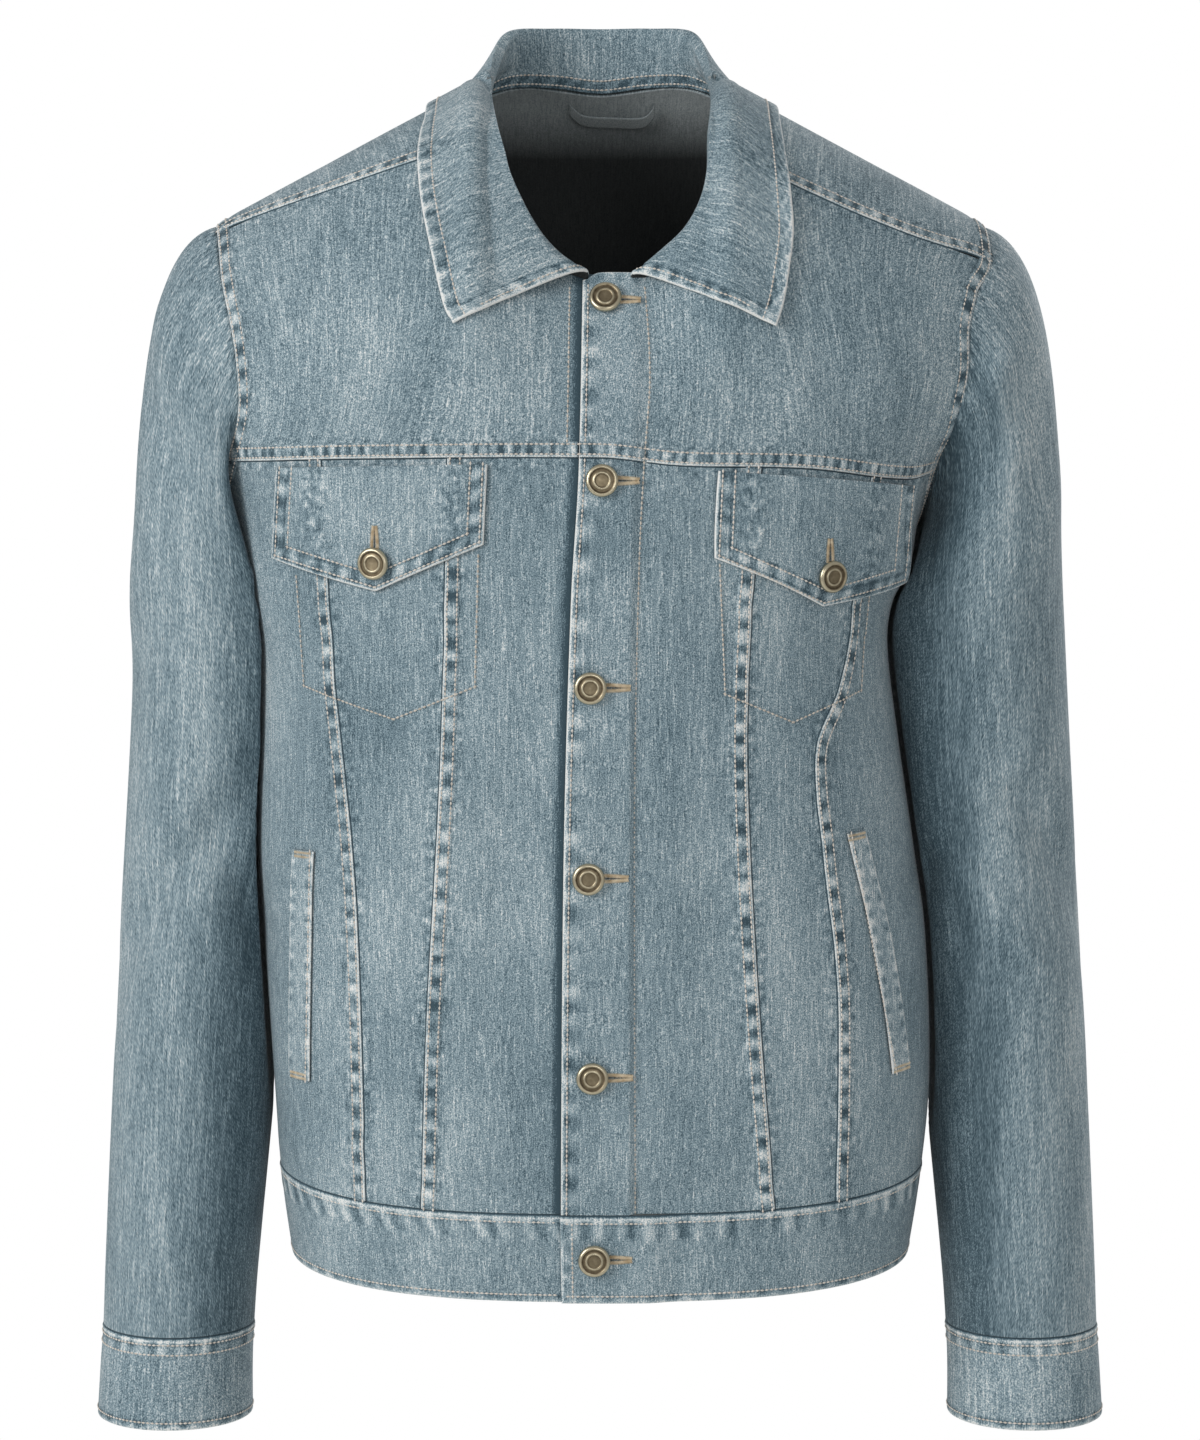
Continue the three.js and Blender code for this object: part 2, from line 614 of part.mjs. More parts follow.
// A strip of the front between two lines of x, from the band seam to the neckline.
function frontStrip(name, fromX, toX, topZ, lift, thickness) {
  const rows = 16;
  const columns = 3;
  const line = (xAt) => steps(rows).map((t) => {
    const z = lerp(BAND.seam, topZ, t);
    return [xAt(z), z];
  });
  const left = line(fromX);
  const right = line(toX);
  const bottom = spread([left[0], right[0]], columns);
  const top = spread([left[rows], right[rows]], columns);
  add(name, wall(lay(front, patch({ bottom, top, left, right }), lift), thickness));
}

// A closed outline on the front as a patch: a top line and a lower line through its point.
function frontPatch(name, outline, columns, rows, lift, thickness, look) {
  const { top: topLine, bottom: lowerLine, standOff = 0 } = outline;
  const turned = (line) => line.map(([x, z]) => [turnAt(x, z), z]);
  const top = spread(turned(topLine), columns);
  const bottom = spread(turned(lowerLine), columns);
  const left = spread([bottom[0], top[0]], rows);
  const right = spread([bottom[columns], top[columns]], rows);
  const cells = lay(around, patch({ bottom, top, left, right }), lift, 0);
  cells.forEach((line, i) => line.forEach(({ point, normal }) => {
    point.addScaledVector(normal, Math.abs(standOff * (standOff < 0 ? 1 - i / columns : i / columns)));
  }));
  add(name, wall(cells, thickness), look);
}

// Waistband: once round with the left end lapped over the right end.
function waistband() {
  const start = turnAt(PLACKET_EDGE[0].x, BAND.seam);
  const end = 2 * Math.PI + turnAt(STAND.edge, BAND.seam);
  const lapFrom = turnAt(BAND.lapFrom, BAND.seam);
  const lapTo = turnAt(BAND.lapTo, BAND.seam);
  const liftAt = (turn) => lerp(ON_TOP, 0, smoothstep(turn, lapFrom, lapTo));
  const cells = steps(BAND.columns).map((f) => {
    const turn = lerp(start, end, f);
    return steps(BAND.rows).map((t) => {
      const z = lerp(bandBottom(turn), bandSeam(turn) - SEAM, t);
      const normal = outward(around, turn, z);
      return { point: around(turn, z).addScaledVector(normal, liftAt(turn)), normal };
    });
  });
  add('waistband', wall(cells, DOUBLED));
}

// Distance from the middle plane of the torso's side at depth y and height z.
function torsoReach(side, y, z) {
  const depth = read(TORSO, z, y > 0 ? 'back' : 'front');
  const share = Math.min(1, Math.abs(y) / depth) ** SECTION_POWER;
  return read(TORSO, z, side) * (1 - share) ** (1 / SECTION_POWER);
}

function sleeveFold(side, turn, z) {
  let sum = 0;
  for (const fold of SLEEVE_FOLDS) {
    if (fold.side !== SIDES[side].sign) continue;
    const t = (turn - fold.turn) / fold.around;
    const h = (z - fold.z - fold.slant * (turn - fold.turn)) / fold.along;
    sum += fold.depth * Math.exp(-t * t - h * h);
  }
  return sum;
}

// A level ring of the sleeve: turn 0 is the outer side, a quarter turn the front, a half turn the inner side.
function sleeveRing(side, turn, z, clearance = SLEEVE_CLEARANCE) {
  const { sign } = SIDES[side];
  const out = read(SLEEVE, z, 'out');
  const middle = (out + read(SLEEVE, z, 'in')) / 2;
  const fold = sleeveFold(side, turn, z);
  const across = (out - middle - fold) * Math.cos(turn);
  const y = read(SLEEVE, z, 'centre') - (read(SLEEVE, z, 'depth') - fold) * Math.sin(turn);
  const x = Math.max(middle + across, torsoReach(side, y, z) + clearance);
  return new THREE.Vector3(sign * x, y, z);
}

// The turn of each station round the sleeve.
function stationTurn(i) {
  const { underarm, last } = STATIONS;
  return i <= underarm ? (Math.PI * i) / underarm : Math.PI * (1 + (i - underarm) / (last + 1 - underarm));
}

// A line of the sleeve from its armhole station, over the cap and down the arm to the cuff.
function sleeveLine(side, i) {
  const { sign } = SIDES[side];
  const turn = stationTurn(i);
  const start = stationPoint(HOLES[side][i]);
  const end = sleeveRing(side, turn, SLEEVE_START);
  const drop = start.z - end.z;
  const outwards = drop * (CAP.out + CAP.outAtTop * Math.cos(turn));
  const downwards = drop * (CAP.down - CAP.lessDownAtTop * Math.cos(turn));
  const leave = new THREE.Vector3(sign * outwards, 0, -downwards);
  const below = sleeveRing(side, turn, SLEEVE_START - 1);
  const arrive = below.sub(end).multiplyScalar(CAP.arrive * drop);
  const normal = stationNormal(HOLES[side][i]);
  const inwards = new THREE.Vector3(sign * HOLE_CENTRE.x, HOLE_CENTRE.y, HOLE_CENTRE.z).sub(start);
  inwards.addScaledVector(normal, -inwards.dot(normal)).normalize();
  start.addScaledVector(inwards, CAP.seamSteps * SEAM).addScaledVector(normal, SEAM);
  const cap = steps(CAP_ROWS).map((t) => {
    const rise = t * t * (3 - 2 * t);
    const point = start.clone().lerp(end, rise)
      .addScaledVector(leave, t * (1 - t) * (1 - t))
      .addScaledVector(arrive, t * t * (t - 1));
    const fold = sleeveFold(side, turn, point.z) * rise;
    const centre = new THREE.Vector3(sign * CAP.foldCentre.x, CAP.foldCentre.y, point.z);
    point.add(centre.sub(point).normalize().multiplyScalar(fold));
    const near = Math.min(SLEEVE_CLEARANCE, CAP.nearest + CAP.nearRise * (start.z - point.z));
    if (point.z < start.z - 1 && point.z < UNDERARM[side] + CAP.clearsAbove) {
      point.x = sign * Math.max(sign * point.x, torsoReach(side, point.y, point.z) + near);
    }
    return point;
  });
  const arm = steps(ARM_ROWS).slice(1).map((t) => sleeveRing(side, turn, lerp(SLEEVE_START, CUFF.top, t)));
  return [...cap, ...arm];
}

// Normals of a grid that closes on itself round the sleeve, from its neighbours.
function gridCells(lines, sign) {
  const count = lines.length;
  return lines.map((line, i) => line.map((point, j) => {
    const next = lines[(i + 1) % count][j];
    const before = lines[(i + count - 1) % count][j];
    const above = line[Math.max(0, j - 1)];
    const below = line[Math.min(line.length - 1, j + 1)];
    const normal = next.clone().sub(before).cross(below.clone().sub(above)).multiplyScalar(sign).normalize();
    return { point: point.clone(), normal };
  }));
}

// Sleeve in two pieces: the upper over the outer side, and the under piece.
function sleeve(side) {
  const lines = steps(STATIONS.last).map((_, i) => sleeveLine(side, i));
  const cells = gridCells(lines, SIDES[side].sign);
  const piece = (from, to) => {
    const run = [];
    for (let i = from; i <= to; i += 1) {
      run.push(cells[i % cells.length].map(({ point, normal }) => ({ point: point.clone(), normal })));
    }
    const last = run.length - 1;
    for (const [edge, next] of [[0, 1], [last, last - 1]]) {
      run[edge].forEach(({ point }, j) => {
        const step = run[next][j].point.clone().sub(point).normalize();
        point.addScaledVector(step, SEAM);
      });
    }
    return wall(run, CLOTH);
  };
  add(`sleeve_upper_${side}`, piece(SLEEVE_SEAM.back, cells.length + SLEEVE_SEAM.front), DENIM_DARK);
  add(`sleeve_under_${side}`, piece(SLEEVE_SEAM.front, SLEEVE_SEAM.back));
}

// Cuff: a doubled band once round the wrist, with one end lapped over the other at the back.
function cuff(side) {
  const { sign } = SIDES[side];
  const full = 2 * Math.PI + CUFF.lapTurn;
  const from = -CUFF.startTurn;
  const surface = (a, h) => sleeveRing(side, -a, h, CUFF.clearance);
  const cells = steps(CUFF.columns).map((f) => {
    const turn = from + full * f;
    const lift = ON_TOP * (1 - smoothstep(f, CUFF.lapFrom, CUFF.lapTo));
    return steps(CUFF.rows).map((t) => {
      const z = lerp(CUFF.top - SEAM, CUFF.bottom, t);
      const normal = outward(surface, -turn, z).multiplyScalar(sign);
      return { point: surface(-turn, z).addScaledVector(normal, lift), normal };
    });
  });
  add(`cuff_${side}`, wall(cells, DOUBLED));
  const normal = outward(surface, CUFF_BUTTON.turn, CUFF_BUTTON.z).multiplyScalar(sign);
  const seat = surface(CUFF_BUTTON.turn, CUFF_BUTTON.z).addScaledVector(normal, ON_TOP + SEAM);
  button(`cuff_button_${side}`, seat, normal);
}

// The neckline from the wearer's right front end round the back to the left, as points with outward directions.
function neckline() {
  const start = (side) => [COLLAR_START[side], ...SIDES[side].neck].map(({ x, z }) => {
    const at = SIDES[side].sign * x;
    return { point: front(at, z), normal: outward(front, at, z) };
  });
  const behind = BACK_NECK.map(({ x, tilt }) => {
    const at = THREE.MathUtils.degToRad(tilt);
    return { point: overShoulder(x, at), normal: outward(overShoulder, x, at) };
  });
  return [...start('right'), ...behind, ...start('left').reverse()];
}

// Moves a point out until it clears the torso by a height, or by its share of the way.
function clearOfTorso(point, height, share) {
  const behind = point.y > 0;
  const fall = behind ? SHOULDER.backFall : SHOULDER.frontFall;
  const centreZ = ridge(point.x, behind) - fall;
  const depth = read(TORSO, point.z, behind ? 'back' : 'front');
  const tilt = Math.atan2(point.y / depth, (point.z - centreZ) / fall);
  const normal = outward(overShoulder, point.x, tilt);
  const over = point.clone().sub(overShoulder(point.x, tilt)).dot(normal);
  return point.clone().addScaledVector(normal, share * Math.max(0, height - over));
}

// Collar: each section rises from the neckline, turns over the roll and falls to the free edge.
function collar() {
  const seam = neckline();
  const starts = COLLAR.map(({ r }, i) => {
    const { point, normal } = seam[i];
    const towards = new THREE.Vector3(...r).sub(point).normalize();
    const up = towards.dot(normal);
    const inwards = towards.clone().addScaledVector(normal, -up);
    const along = inwards.length();
    return point.clone()
      .addScaledVector(inwards.normalize(), 2 * SEAM + COLLAR_WALL * Math.max(0, up))
      .addScaledVector(normal, -CLOTH * along);
  });
  const smooth = (key) => new THREE.CatmullRomCurve3(COLLAR.map((row) => new THREE.Vector3(...row[key])));
  const roll = smooth('r');
  const edge = smooth('e');
  const lines = steps(2 * (COLLAR.length - 1)).map((t, i) => {
    const n = starts[Math.floor(i / 2)].clone().lerp(starts[Math.ceil(i / 2)], 0.5);
    const r = roll.getPoint(t);
    const e = edge.getPoint(t);
    const rise = r.clone().sub(n);
    const fall = e.clone().sub(r);
    const top = r.clone().addScaledVector(rise, ROLL.reach).addScaledVector(fall, ROLL.back);
    const over = r.clone().addScaledVector(rise, ROLL.reach).addScaledVector(fall, ROLL.over);
    const section = new THREE.CubicBezierCurve3(n, top, over, e).getSpacedPoints(COLLAR_ROWS);
    return section.map((p, j) => {
      const share = smoothstep(j / COLLAR_ROWS, CLEARING.from, CLEARING.to);
      return share > 0 ? clearOfTorso(p, COLLAR_WALL + COLLAR_CLEARANCE, share) : p;
    });
  });
  const last = lines.length - 1;
  const cells = lines.map((line, i) => line.map((point, j) => {
    const side = lines[Math.min(last, i + 1)][j].clone().sub(lines[Math.max(0, i - 1)][j]);
    const down = line[Math.min(COLLAR_ROWS, j + 1)].clone().sub(line[Math.max(0, j - 1)]);
    return { point, normal: down.cross(side).normalize() };
  }));
  add('collar', wall(cells, COLLAR_WALL));
}

// Hanger loop: a narrow strip that hangs inside the back of the neck.
function hangerLoop() {
  const { from, to, top, height, sag, inside, thickness } = HANGER_LOOP;
  const columns = 6;
  const grid = steps(columns).map((f) => {
    const x = lerp(from, to, f);
    const droop = sag * Math.sin(Math.PI * f);
    return [top - height - droop, top - droop].map((z) => [x, tiltAt(x, z, true)]);
  });
  add('hanger_loop', wall(lay(overShoulder, grid, -inside, 0), thickness), DENIM_DARK);
}

// Shank button: a short neck under a cap with a raised rim, turned to face along a direction.
function button(name, seat, facing) {
  const { radius, neckRadius, neck, skirt, rim, crown, crownRadius, dish, sides } = BUTTON;
  const profile = [
    [0, 0], [neckRadius, 0], [neckRadius, neck], [radius, skirt], [radius, rim], [crownRadius, crown], [0, dish],
  ].map(([r, h]) => new THREE.Vector2(r, h));
  const geometry = new THREE.LatheGeometry(profile, sides);
  const turn = new THREE.Quaternion().setFromUnitVectors(new THREE.Vector3(0, 1, 0), facing);
  geometry.applyQuaternion(turn);
  geometry.translate(seat.x, seat.y, seat.z);
  add(name, geometry, BRASS);
}

function frontButton(name, { x, z, above = 0 }) {
  const normal = outward(front, x, z);
  button(name, front(x, z).addScaledVector(normal, ON_TOP + above + SEAM), normal);
}

for (const side of Object.keys(SIDES)) {
  frontYoke(side);
  lowerFront(side);
  sleeve(side);
  cuff(side);
}
back(backYoke());
frontStrip('button_stand_right', () => STAND.seam, () => STAND.edge, NECK_CENTRE, 0, DOUBLED);
const placketEdge = (z) => read(PLACKET_EDGE, z, 'x');
const placketSeam = (z) => read(PLACKET_SEAM, z, 'x');
frontStrip('placket_left', placketEdge, placketSeam, NECK_CENTRE, ON_TOP, DOUBLED);
waistband();
collar();
hangerLoop();
frontPatch('pocket_flap_right', FLAP_RIGHT, 10, 4, ON_TOP, DOUBLED);
frontPatch('pocket_flap_left', FLAP_LEFT, 10, 4, ON_TOP, DOUBLED);
frontPatch('pocket_welt_right', WELT_RIGHT, 1, 6, LAID_ON + CLOTH, CLOTH, DENIM_DARK);
frontPatch('pocket_welt_left', WELT_LEFT, 1, 6, LAID_ON + CLOTH, CLOTH, DENIM_DARK);
FRONT_BUTTONS.forEach((place, i) => frontButton(`front_button_${i + 1}`, place));
frontButton('flap_button_right', FLAP_BUTTONS.right);
frontButton('flap_button_left', FLAP_BUTTONS.left);

export default group;
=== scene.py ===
"""A washed denim jacket, worn and buttoned, with no wearer inside: its looks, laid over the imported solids.

Sizes are in millimetres in the tables, and become metres where a mesh is made. +Z is up, the front faces -Y,
and the wearer's left is at +X. Each piece of cloth is a wall between two layers of one grid of points.
"""

import math

import bpy
import numpy as np
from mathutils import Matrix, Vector


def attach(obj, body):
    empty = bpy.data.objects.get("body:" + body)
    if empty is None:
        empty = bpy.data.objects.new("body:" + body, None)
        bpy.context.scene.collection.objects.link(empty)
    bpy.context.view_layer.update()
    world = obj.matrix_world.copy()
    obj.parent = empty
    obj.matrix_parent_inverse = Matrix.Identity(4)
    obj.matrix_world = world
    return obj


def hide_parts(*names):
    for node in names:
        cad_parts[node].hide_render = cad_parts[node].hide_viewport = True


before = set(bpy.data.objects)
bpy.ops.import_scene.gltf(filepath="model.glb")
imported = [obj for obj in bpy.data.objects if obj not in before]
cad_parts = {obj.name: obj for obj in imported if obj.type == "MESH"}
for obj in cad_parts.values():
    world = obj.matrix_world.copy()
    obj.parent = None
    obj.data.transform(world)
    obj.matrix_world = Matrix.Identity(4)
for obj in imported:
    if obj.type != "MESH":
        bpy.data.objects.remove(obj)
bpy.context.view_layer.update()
MM = 0.001
SIDES = {"right": -1, "left": 1}


def table(names, *rows):
    """Rows of numbers under named columns, as one array for each name."""
    return dict(zip(names.split(), np.array(rows, float).T))


# The sizes of the cut, the same as the solids have
CLOTH = 1.5
DOUBLED = 2.2
LAID_ON = 0.5
ON_TOP = LAID_ON + DOUBLED
TORSO = table(
    "z right left front back",
    (-640, 169, 169, 112, 100),
    (-588, 176, 177, 114, 100),
    (-530, 180, 182, 116, 101),
    (-450, 185, 179, 118, 103),
    (-400, 188, 172, 120, 106),
    (-340, 187, 163, 122, 111),
    (-290, 188, 157, 123, 114),
    (-268, 192, 160, 123, 115),
    (-250, 195, 169, 123, 115),
    (-222, 201, 174, 123, 115),
    (-190, 209, 186, 121, 115),
    (-150, 220, 212, 120, 115),
    (-97, 232, 235, 120, 115),
    (40, 242, 245, 120, 115),
)
SECTION_POWER = 2.4
NECK_SIDE, NECK_HEIGHT, SLOPE = 68, 10.4, 0.53
TIP, TIP_DROP, TIP_RUN = 195, 5, 20
FRONT_FALL, BACK_FALL = 150, 120
NECK_BOWL = {"low": -43, "rise": 53.4, "back": 34, "from": 56, "to": 74}
INNER_SEAM = table(
    "z right left", (-590, -95, 93), (-480, -91, 84), (-380, -85, 78), (-312, -82, 77), (-186, -79, 84)
)
OUTER_SEAM = table(
    "z right left",
    (-590, -125, 126),
    (-470, -127, 126),
    (-400, -130, 118),
    (-340, -136, 114),
    (-300, -140, 129),
    (-186, -146, 144),
)
PLACKET_EDGE = table("z x", (-640, -21), (-400, -19), (-261, -15), (-193, -11), (-80, -9))
PLACKET_SEAM = table("z x", (-640, 20), (-365, 19), (-240, 21.5), (-190, 24), (-142, 27), (-80, 23))
STAND_SEAM, STAND_EDGE = -25, 15
SIDE_SEAM_TURN = math.radians(98)
YOKE_SEAM = table(
    "x z", (-200, -191), (-125, -188), (0, -187), (41, -191), (108, -193), (163, -200), (180, -197)
)
YOKE_HEIGHT = -189
BAND = {"seam": -586, "rise": 9, "bottom": -634, "bottom_rise": 6, "lap_from": 24, "lap_to": 45}
ARMHOLE_FRONT = {
    "right": [(206, -70), (202, -92), (196, -117), (192, -141), (191.5, -166), (198, -191)],
    "left": [(209, -86), (200, -102), (195.5, -121), (195, -143), (189, -165), (179.5, -197)],
}
UNDERARM_FRONT = {"right": [(77, -207), (87, -219)], "left": [(81, -210), (89, -220)]}
UNDERARM = {"right": -225, "left": -226}
UNDERARM_BACK = [(104, -219), (109, -204), (115, -185), (120.5, -164), (125, -142)]
ARMHOLE_BACK = [(190, -120), (195, -101), (201, -85), (206, -73)]
SHOULDER_SEAM = {
    "right": [(76, -26), (108, -36), (142, -47), (176, -58), (206, -70)],
    "left": [(77, -34), (108, -48.5), (142, -63), (176, -75), (209, -86)],
}
FRONT_NECK = {
    "right": [(25, -89), (44, -77), (60, -60), (71, -43), (76, -26)],
    "left": [(23, -94), (45, -82), (62, -64), (73, -48), (77, -34)],
}
NECK_CENTRE = -95
NECK_TOP = -92.5
COLLAR_START = {"right": (7, -96), "left": (15, -97)}
BACK_NECK = [(-80, -8), (-74, 14), (-52, 25), (-26, 35), (0, 37.5), (26, 35), (52, 25), (74, 14), (80, -8)]
BACK_YOKE_SEAM = -122
SLEEVE = table(
    "z out in centre depth",
    (-722, 279, 193, -14, 43),
    (-690, 277, 193, -12, 43),
    (-668, 275.5, 192, -10, 42),
    (-640, 274.5, 190, -8, 44),
    (-556, 271, 182, 0, 49),
    (-445, 265.5, 172, 9, 56),
    (-357, 260, 158, 12, 62),
    (-270, 254.5, 152, 8, 67),
)
SLEEVE_START = -270
SLEEVE_CLEARANCE = 3
CAP = {
    "out": 0.45, "out_top": 0.2, "down": 0.6, "less_top": 0.45, "arrive": 1.2, "nearest": 1.8, "rise": 0.25
}
CAP_CLEARS_ABOVE = 40
CAP_FADES = 0.25
FOLD_CENTRE = (215, 5)
STATIONS = {"tip": 0, "shoulder": 1, "front_yoke": 6, "underarm": 9, "back_yoke": 15, "count": 19}
SLEEVE_SEAMS = {"front": 6, "back": 13}
CUFF = {"top": -668.5, "bottom": -719, "lap_turn": 0.3, "start": 2.1, "lap_from": 0.02, "lap_to": 0.14}
CUFF_CLEARANCE = 1
SLEEVE_FOLDS = table(
    "side turn z along around slant depth",
    (1, 0.9, -395, 30, 0.7, 60, 6),
    (1, 1.6, -440, 20, 0.8, 50, -4),
    (1, 0.8, -225, 22, 0.5, -40, -4),
    (-1, 1.2, -420, 26, 0.8, 60, 6),
    (-1, 1.9, -175, 16, 0.6, -70, 5),
    (-1, 0.6, -250, 30, 0.6, 40, -3),
    (1, 2.2, -170, 16, 0.6, -70, 5),
)
COLLAR = table(
    "rx ry rz ex ey ez",
    (-5, -98, -88, -76, -117.5, -118),
    (-18, -97, -76.5, -81, -116, -107),
    (-29, -92, -60.5, -87, -109, -82),
    (-40, -84, -39, -92, -99, -60),
    (-44, -76, -26.5, -95, -84, -42),
    (-49, -58, -11, -96, -66, -24),
    (-54, -14, 8.5, -93, -32, -7),
    (-55, 22, 31, -86, 40, -3),
    (-49, 45, 49, -64, 84, -8),
    (-26, 60, 52, -34, 99, -8),
    (0, 66, 52, 0, 103, -8),
    (26, 60, 52, 34, 99, -8),
    (49, 45, 49, 64, 84, -8),
    (55, 22, 31, 88, 40, -4),
    (55.5, -14, 9.5, 95, -34, -10),
    (53, -62, -10.5, 98.5, -72, -33),
    (50.5, -80, -34, 100, -92, -54),
    (46.5, -90, -49.5, 100.5, -100, -72),
    (39, -96, -63.5, 98, -109, -90),
    (30, -99, -75, 95, -114, -107),
    (15, -100, -89.5, 91, -117.5, -119),
)
COLLAR_WALL = 2.2
COLLAR_ROW, NECK_TAPE = 7.0, 6.5
COLLAR_CLEARANCE = 1
CLEARING = (0.32, 0.56)
ROLL = {"reach": 0.3, "back": -0.04, "over": 0.22}
FLAPS = {
    "right": {"top": [(-168, -193), (-58, -190.5)], "bottom": [(-171, -241), (-116, -257), (-60, -232)]},
    "left": {"top": [(61, -194), (164, -203)], "bottom": [(59, -239), (115, -265), (160, -254)]},
}
FLAP_STAND_OFF = {"right": -1.5, "left": 3}
WELTS = {
    "right": {"top": [(-163, -397), (-151, -397)], "bottom": [(-167, -523), (-155, -523)]},
    "left": {"top": [(130, -387), (140, -386)], "bottom": [(156, -519), (166, -518)]},
}
HANGER_LOOP = {
    "points": [(-17, 5.5), (-14, 2.5), (-8, -1), (8, -2), (24, -2), (30, 2), (32, 5.5)],
    "height": 6,
}
HANGER_INSIDE, HANGER_WALL = 5.3, 1.0
FRONT_BUTTONS = [(3, -107), (1, -199), (-5, -306), (-6, -406), (-4, -512), (-3, -610)]
FLAP_BUTTONS = {"right": (-116, -242, 0.8), "left": (118, -249, 1.9)}
CUFF_BUTTON = (1.8, -694)
CUFF_HOLE = (0.13, 0.42)
BUTTON = table(
    "radius height patina",
    (0, 0, 1),
    (3.2, 0, 1),
    (3.2, 1.3, 1),
    (7.7, 1.5, 0.7),
    (8.4, 2.0, 0.2),
    (8.5, 2.9, 0.1),
    (8.25, 3.6, 0.05),
    (7.7, 4.1, 0),
    (7.1, 4.35, 0.1),
    (6.6, 4.2, 0.5),
    (6.25, 3.8, 0.9),
    (5.8, 3.7, 0.8),
    (4.9, 3.75, 0.6),
    (4.5, 4.0, 0.2),
    (4.1, 4.15, 0.1),
    (3.7, 4.0, 0.4),
    (3.4, 3.75, 0.8),
    (3.0, 3.7, 0.6),
    (0, 3.7, 0.45),
)
BUTTON_SIDES = 40
BUTTON_GAP = 0.2
BUTTONHOLES = [21.5, 20, 15.5, 14.5, 17, 16.5]
FLAP_HOLE = (10, 19)
POCKET_BAGS = {
    "right": [(-160, -251), (-157, -309), (-108, -324), (-65, -306), (-63, -238)],
    "left": [(62, -243), (65, -310), (101, -326), (138, -312), (142, -262)],
}


def mix(a, b, t):
    """Between a at t = 0 and b at t = 1."""
    return a + (b - a) * t


def smooth(t):
    """0 below 0, 1 above 1, and 3t^2 - 2t^3 between."""
    t = np.clip(t, 0, 1)
    return t * t * (3 - 2 * t)


def bell(t):
    """exp(-t^2): 1 at the middle, and near 0 past 2."""
    return np.exp(-t * t)


def read(rows, at, name, by="z"):
    """A smooth reading of a table: a cubic between two rows, with slopes from the rows around."""
    x, y = rows[by], rows[name]
    if x[0] > x[-1]:
        x, y = x[::-1], y[::-1]
    slope = np.empty_like(y)
    slope[1:-1] = (y[2:] - y[:-2]) / (x[2:] - x[:-2])
    slope[0], slope[-1] = (y[1] - y[0]) / (x[1] - x[0]), (y[-1] - y[-2]) / (x[-1] - x[-2])
    at = np.clip(at, x[0], x[-1])
    i = np.clip(np.searchsorted(x, at, side="right") - 1, 0, len(x) - 2)
    run = x[i + 1] - x[i]
    t = (at - x[i]) / run
    ends = t * (1 - t) ** 2 * slope[i] + t * t * (t - 1) * slope[i + 1]
    return mix(y[i], y[i + 1], smooth(t)) + run * ends


def through(points, at):
    """Places at shares 0..1 of a smooth line through listed points: Catmull-Rom, evenly by point."""
    p = np.asarray(points, float)
    at = np.asarray(at, float) * (len(p) - 1)
    i = np.clip(at.astype(int), 0, len(p) - 2)
    t = (at - i)[..., None]
    a, b = p[i], p[i + 1]
    before = np.where((i > 0)[..., None], p[np.maximum(i - 1, 0)], 2 * a - b)
    after = np.where((i < len(p) - 2)[..., None], p[np.minimum(i + 2, len(p) - 1)], 2 * b - a)
    cubic = 3 * a - 3 * b + after - before
    return a + 0.5 * t * (b - before + t * (2 * before - 5 * a + 4 * b - after + t * cubic))


def unit(v):
    """Directions with a length of 1."""
    return v / np.maximum(np.linalg.norm(v, axis=-1, keepdims=True), 1e-12)


def dot(a, b):
    """The dot product of directions in the last axis."""
    return (a * b).sum(-1)


# The torso's surfaces, each a function of two parameters


def ridge(x, behind):
    """Height of the top of the shoulders at x, in front or behind: a slope, blended to the neck's bowl."""
    a = np.abs(x)
    past = np.maximum(0, (a - TIP) / TIP_RUN)
    line = NECK_HEIGHT - SLOPE * (a - NECK_SIDE) - TIP_DROP * past * past
    back = mix(NECK_BOWL["back"], line, smooth(a / NECK_BOWL["to"]))
    bowl = NECK_BOWL["low"] + NECK_BOWL["rise"] * (a / NECK_SIDE) ** 2
    fore = mix(bowl, line, smooth((a - NECK_BOWL["from"]) / (NECK_BOWL["to"] - NECK_BOWL["from"])))
    return np.where(behind, back, fore)


def half_width(x, z):
    """Half the torso's width at z, on the side where x is."""
    return np.where(x < 0, read(TORSO, z, "right"), read(TORSO, z, "left"))


def depth_at(z, behind):
    """The torso's depth at z, in front or behind."""
    return np.where(behind, read(TORSO, z, "back"), read(TORSO, z, "front"))


def across(x, z):
    """How full the level section is at x: (1 - |x/w|^p)^(1/p)."""
    share = np.minimum(1, np.abs(x) / half_width(x, z))
    return np.maximum(0, 1 - share**SECTION_POWER) ** (1 / SECTION_POWER)


def rounding(x, z, behind):
    """How full the section is at z: 1 low down, and a quarter circle up to the ridge."""
    down = np.clip((ridge(x, behind) - z) / np.where(behind, BACK_FALL, FRONT_FALL), 0, 1)
    return np.sqrt(1 - (1 - down) ** 2)


def front(x, z):
    """The front at x and z: y = -depth * across * rounding."""
    x, z = np.broadcast_arrays(np.asarray(x, float), np.asarray(z, float))
    y = -read(TORSO, z, "front") * across(x, z) * rounding(x, z, False)
    return np.stack([x, y, z], -1)


def over_shoulder(x, tilt):
    """The torso over the shoulder: tilt 0 is the top, negative in front. Past a quarter turn it hangs."""
    x, tilt = np.broadcast_arrays(np.asarray(x, float), np.asarray(tilt, float))
    behind = tilt > 0
    bend = np.minimum(np.abs(tilt), math.pi / 2)
    z = ridge(x, behind) - np.where(behind, BACK_FALL, FRONT_FALL) * (1 - np.cos(bend) + np.abs(tilt) - bend)
    return np.stack([x, np.sign(tilt) * depth_at(z, behind) * across(x, z) * np.sin(bend), z], -1)


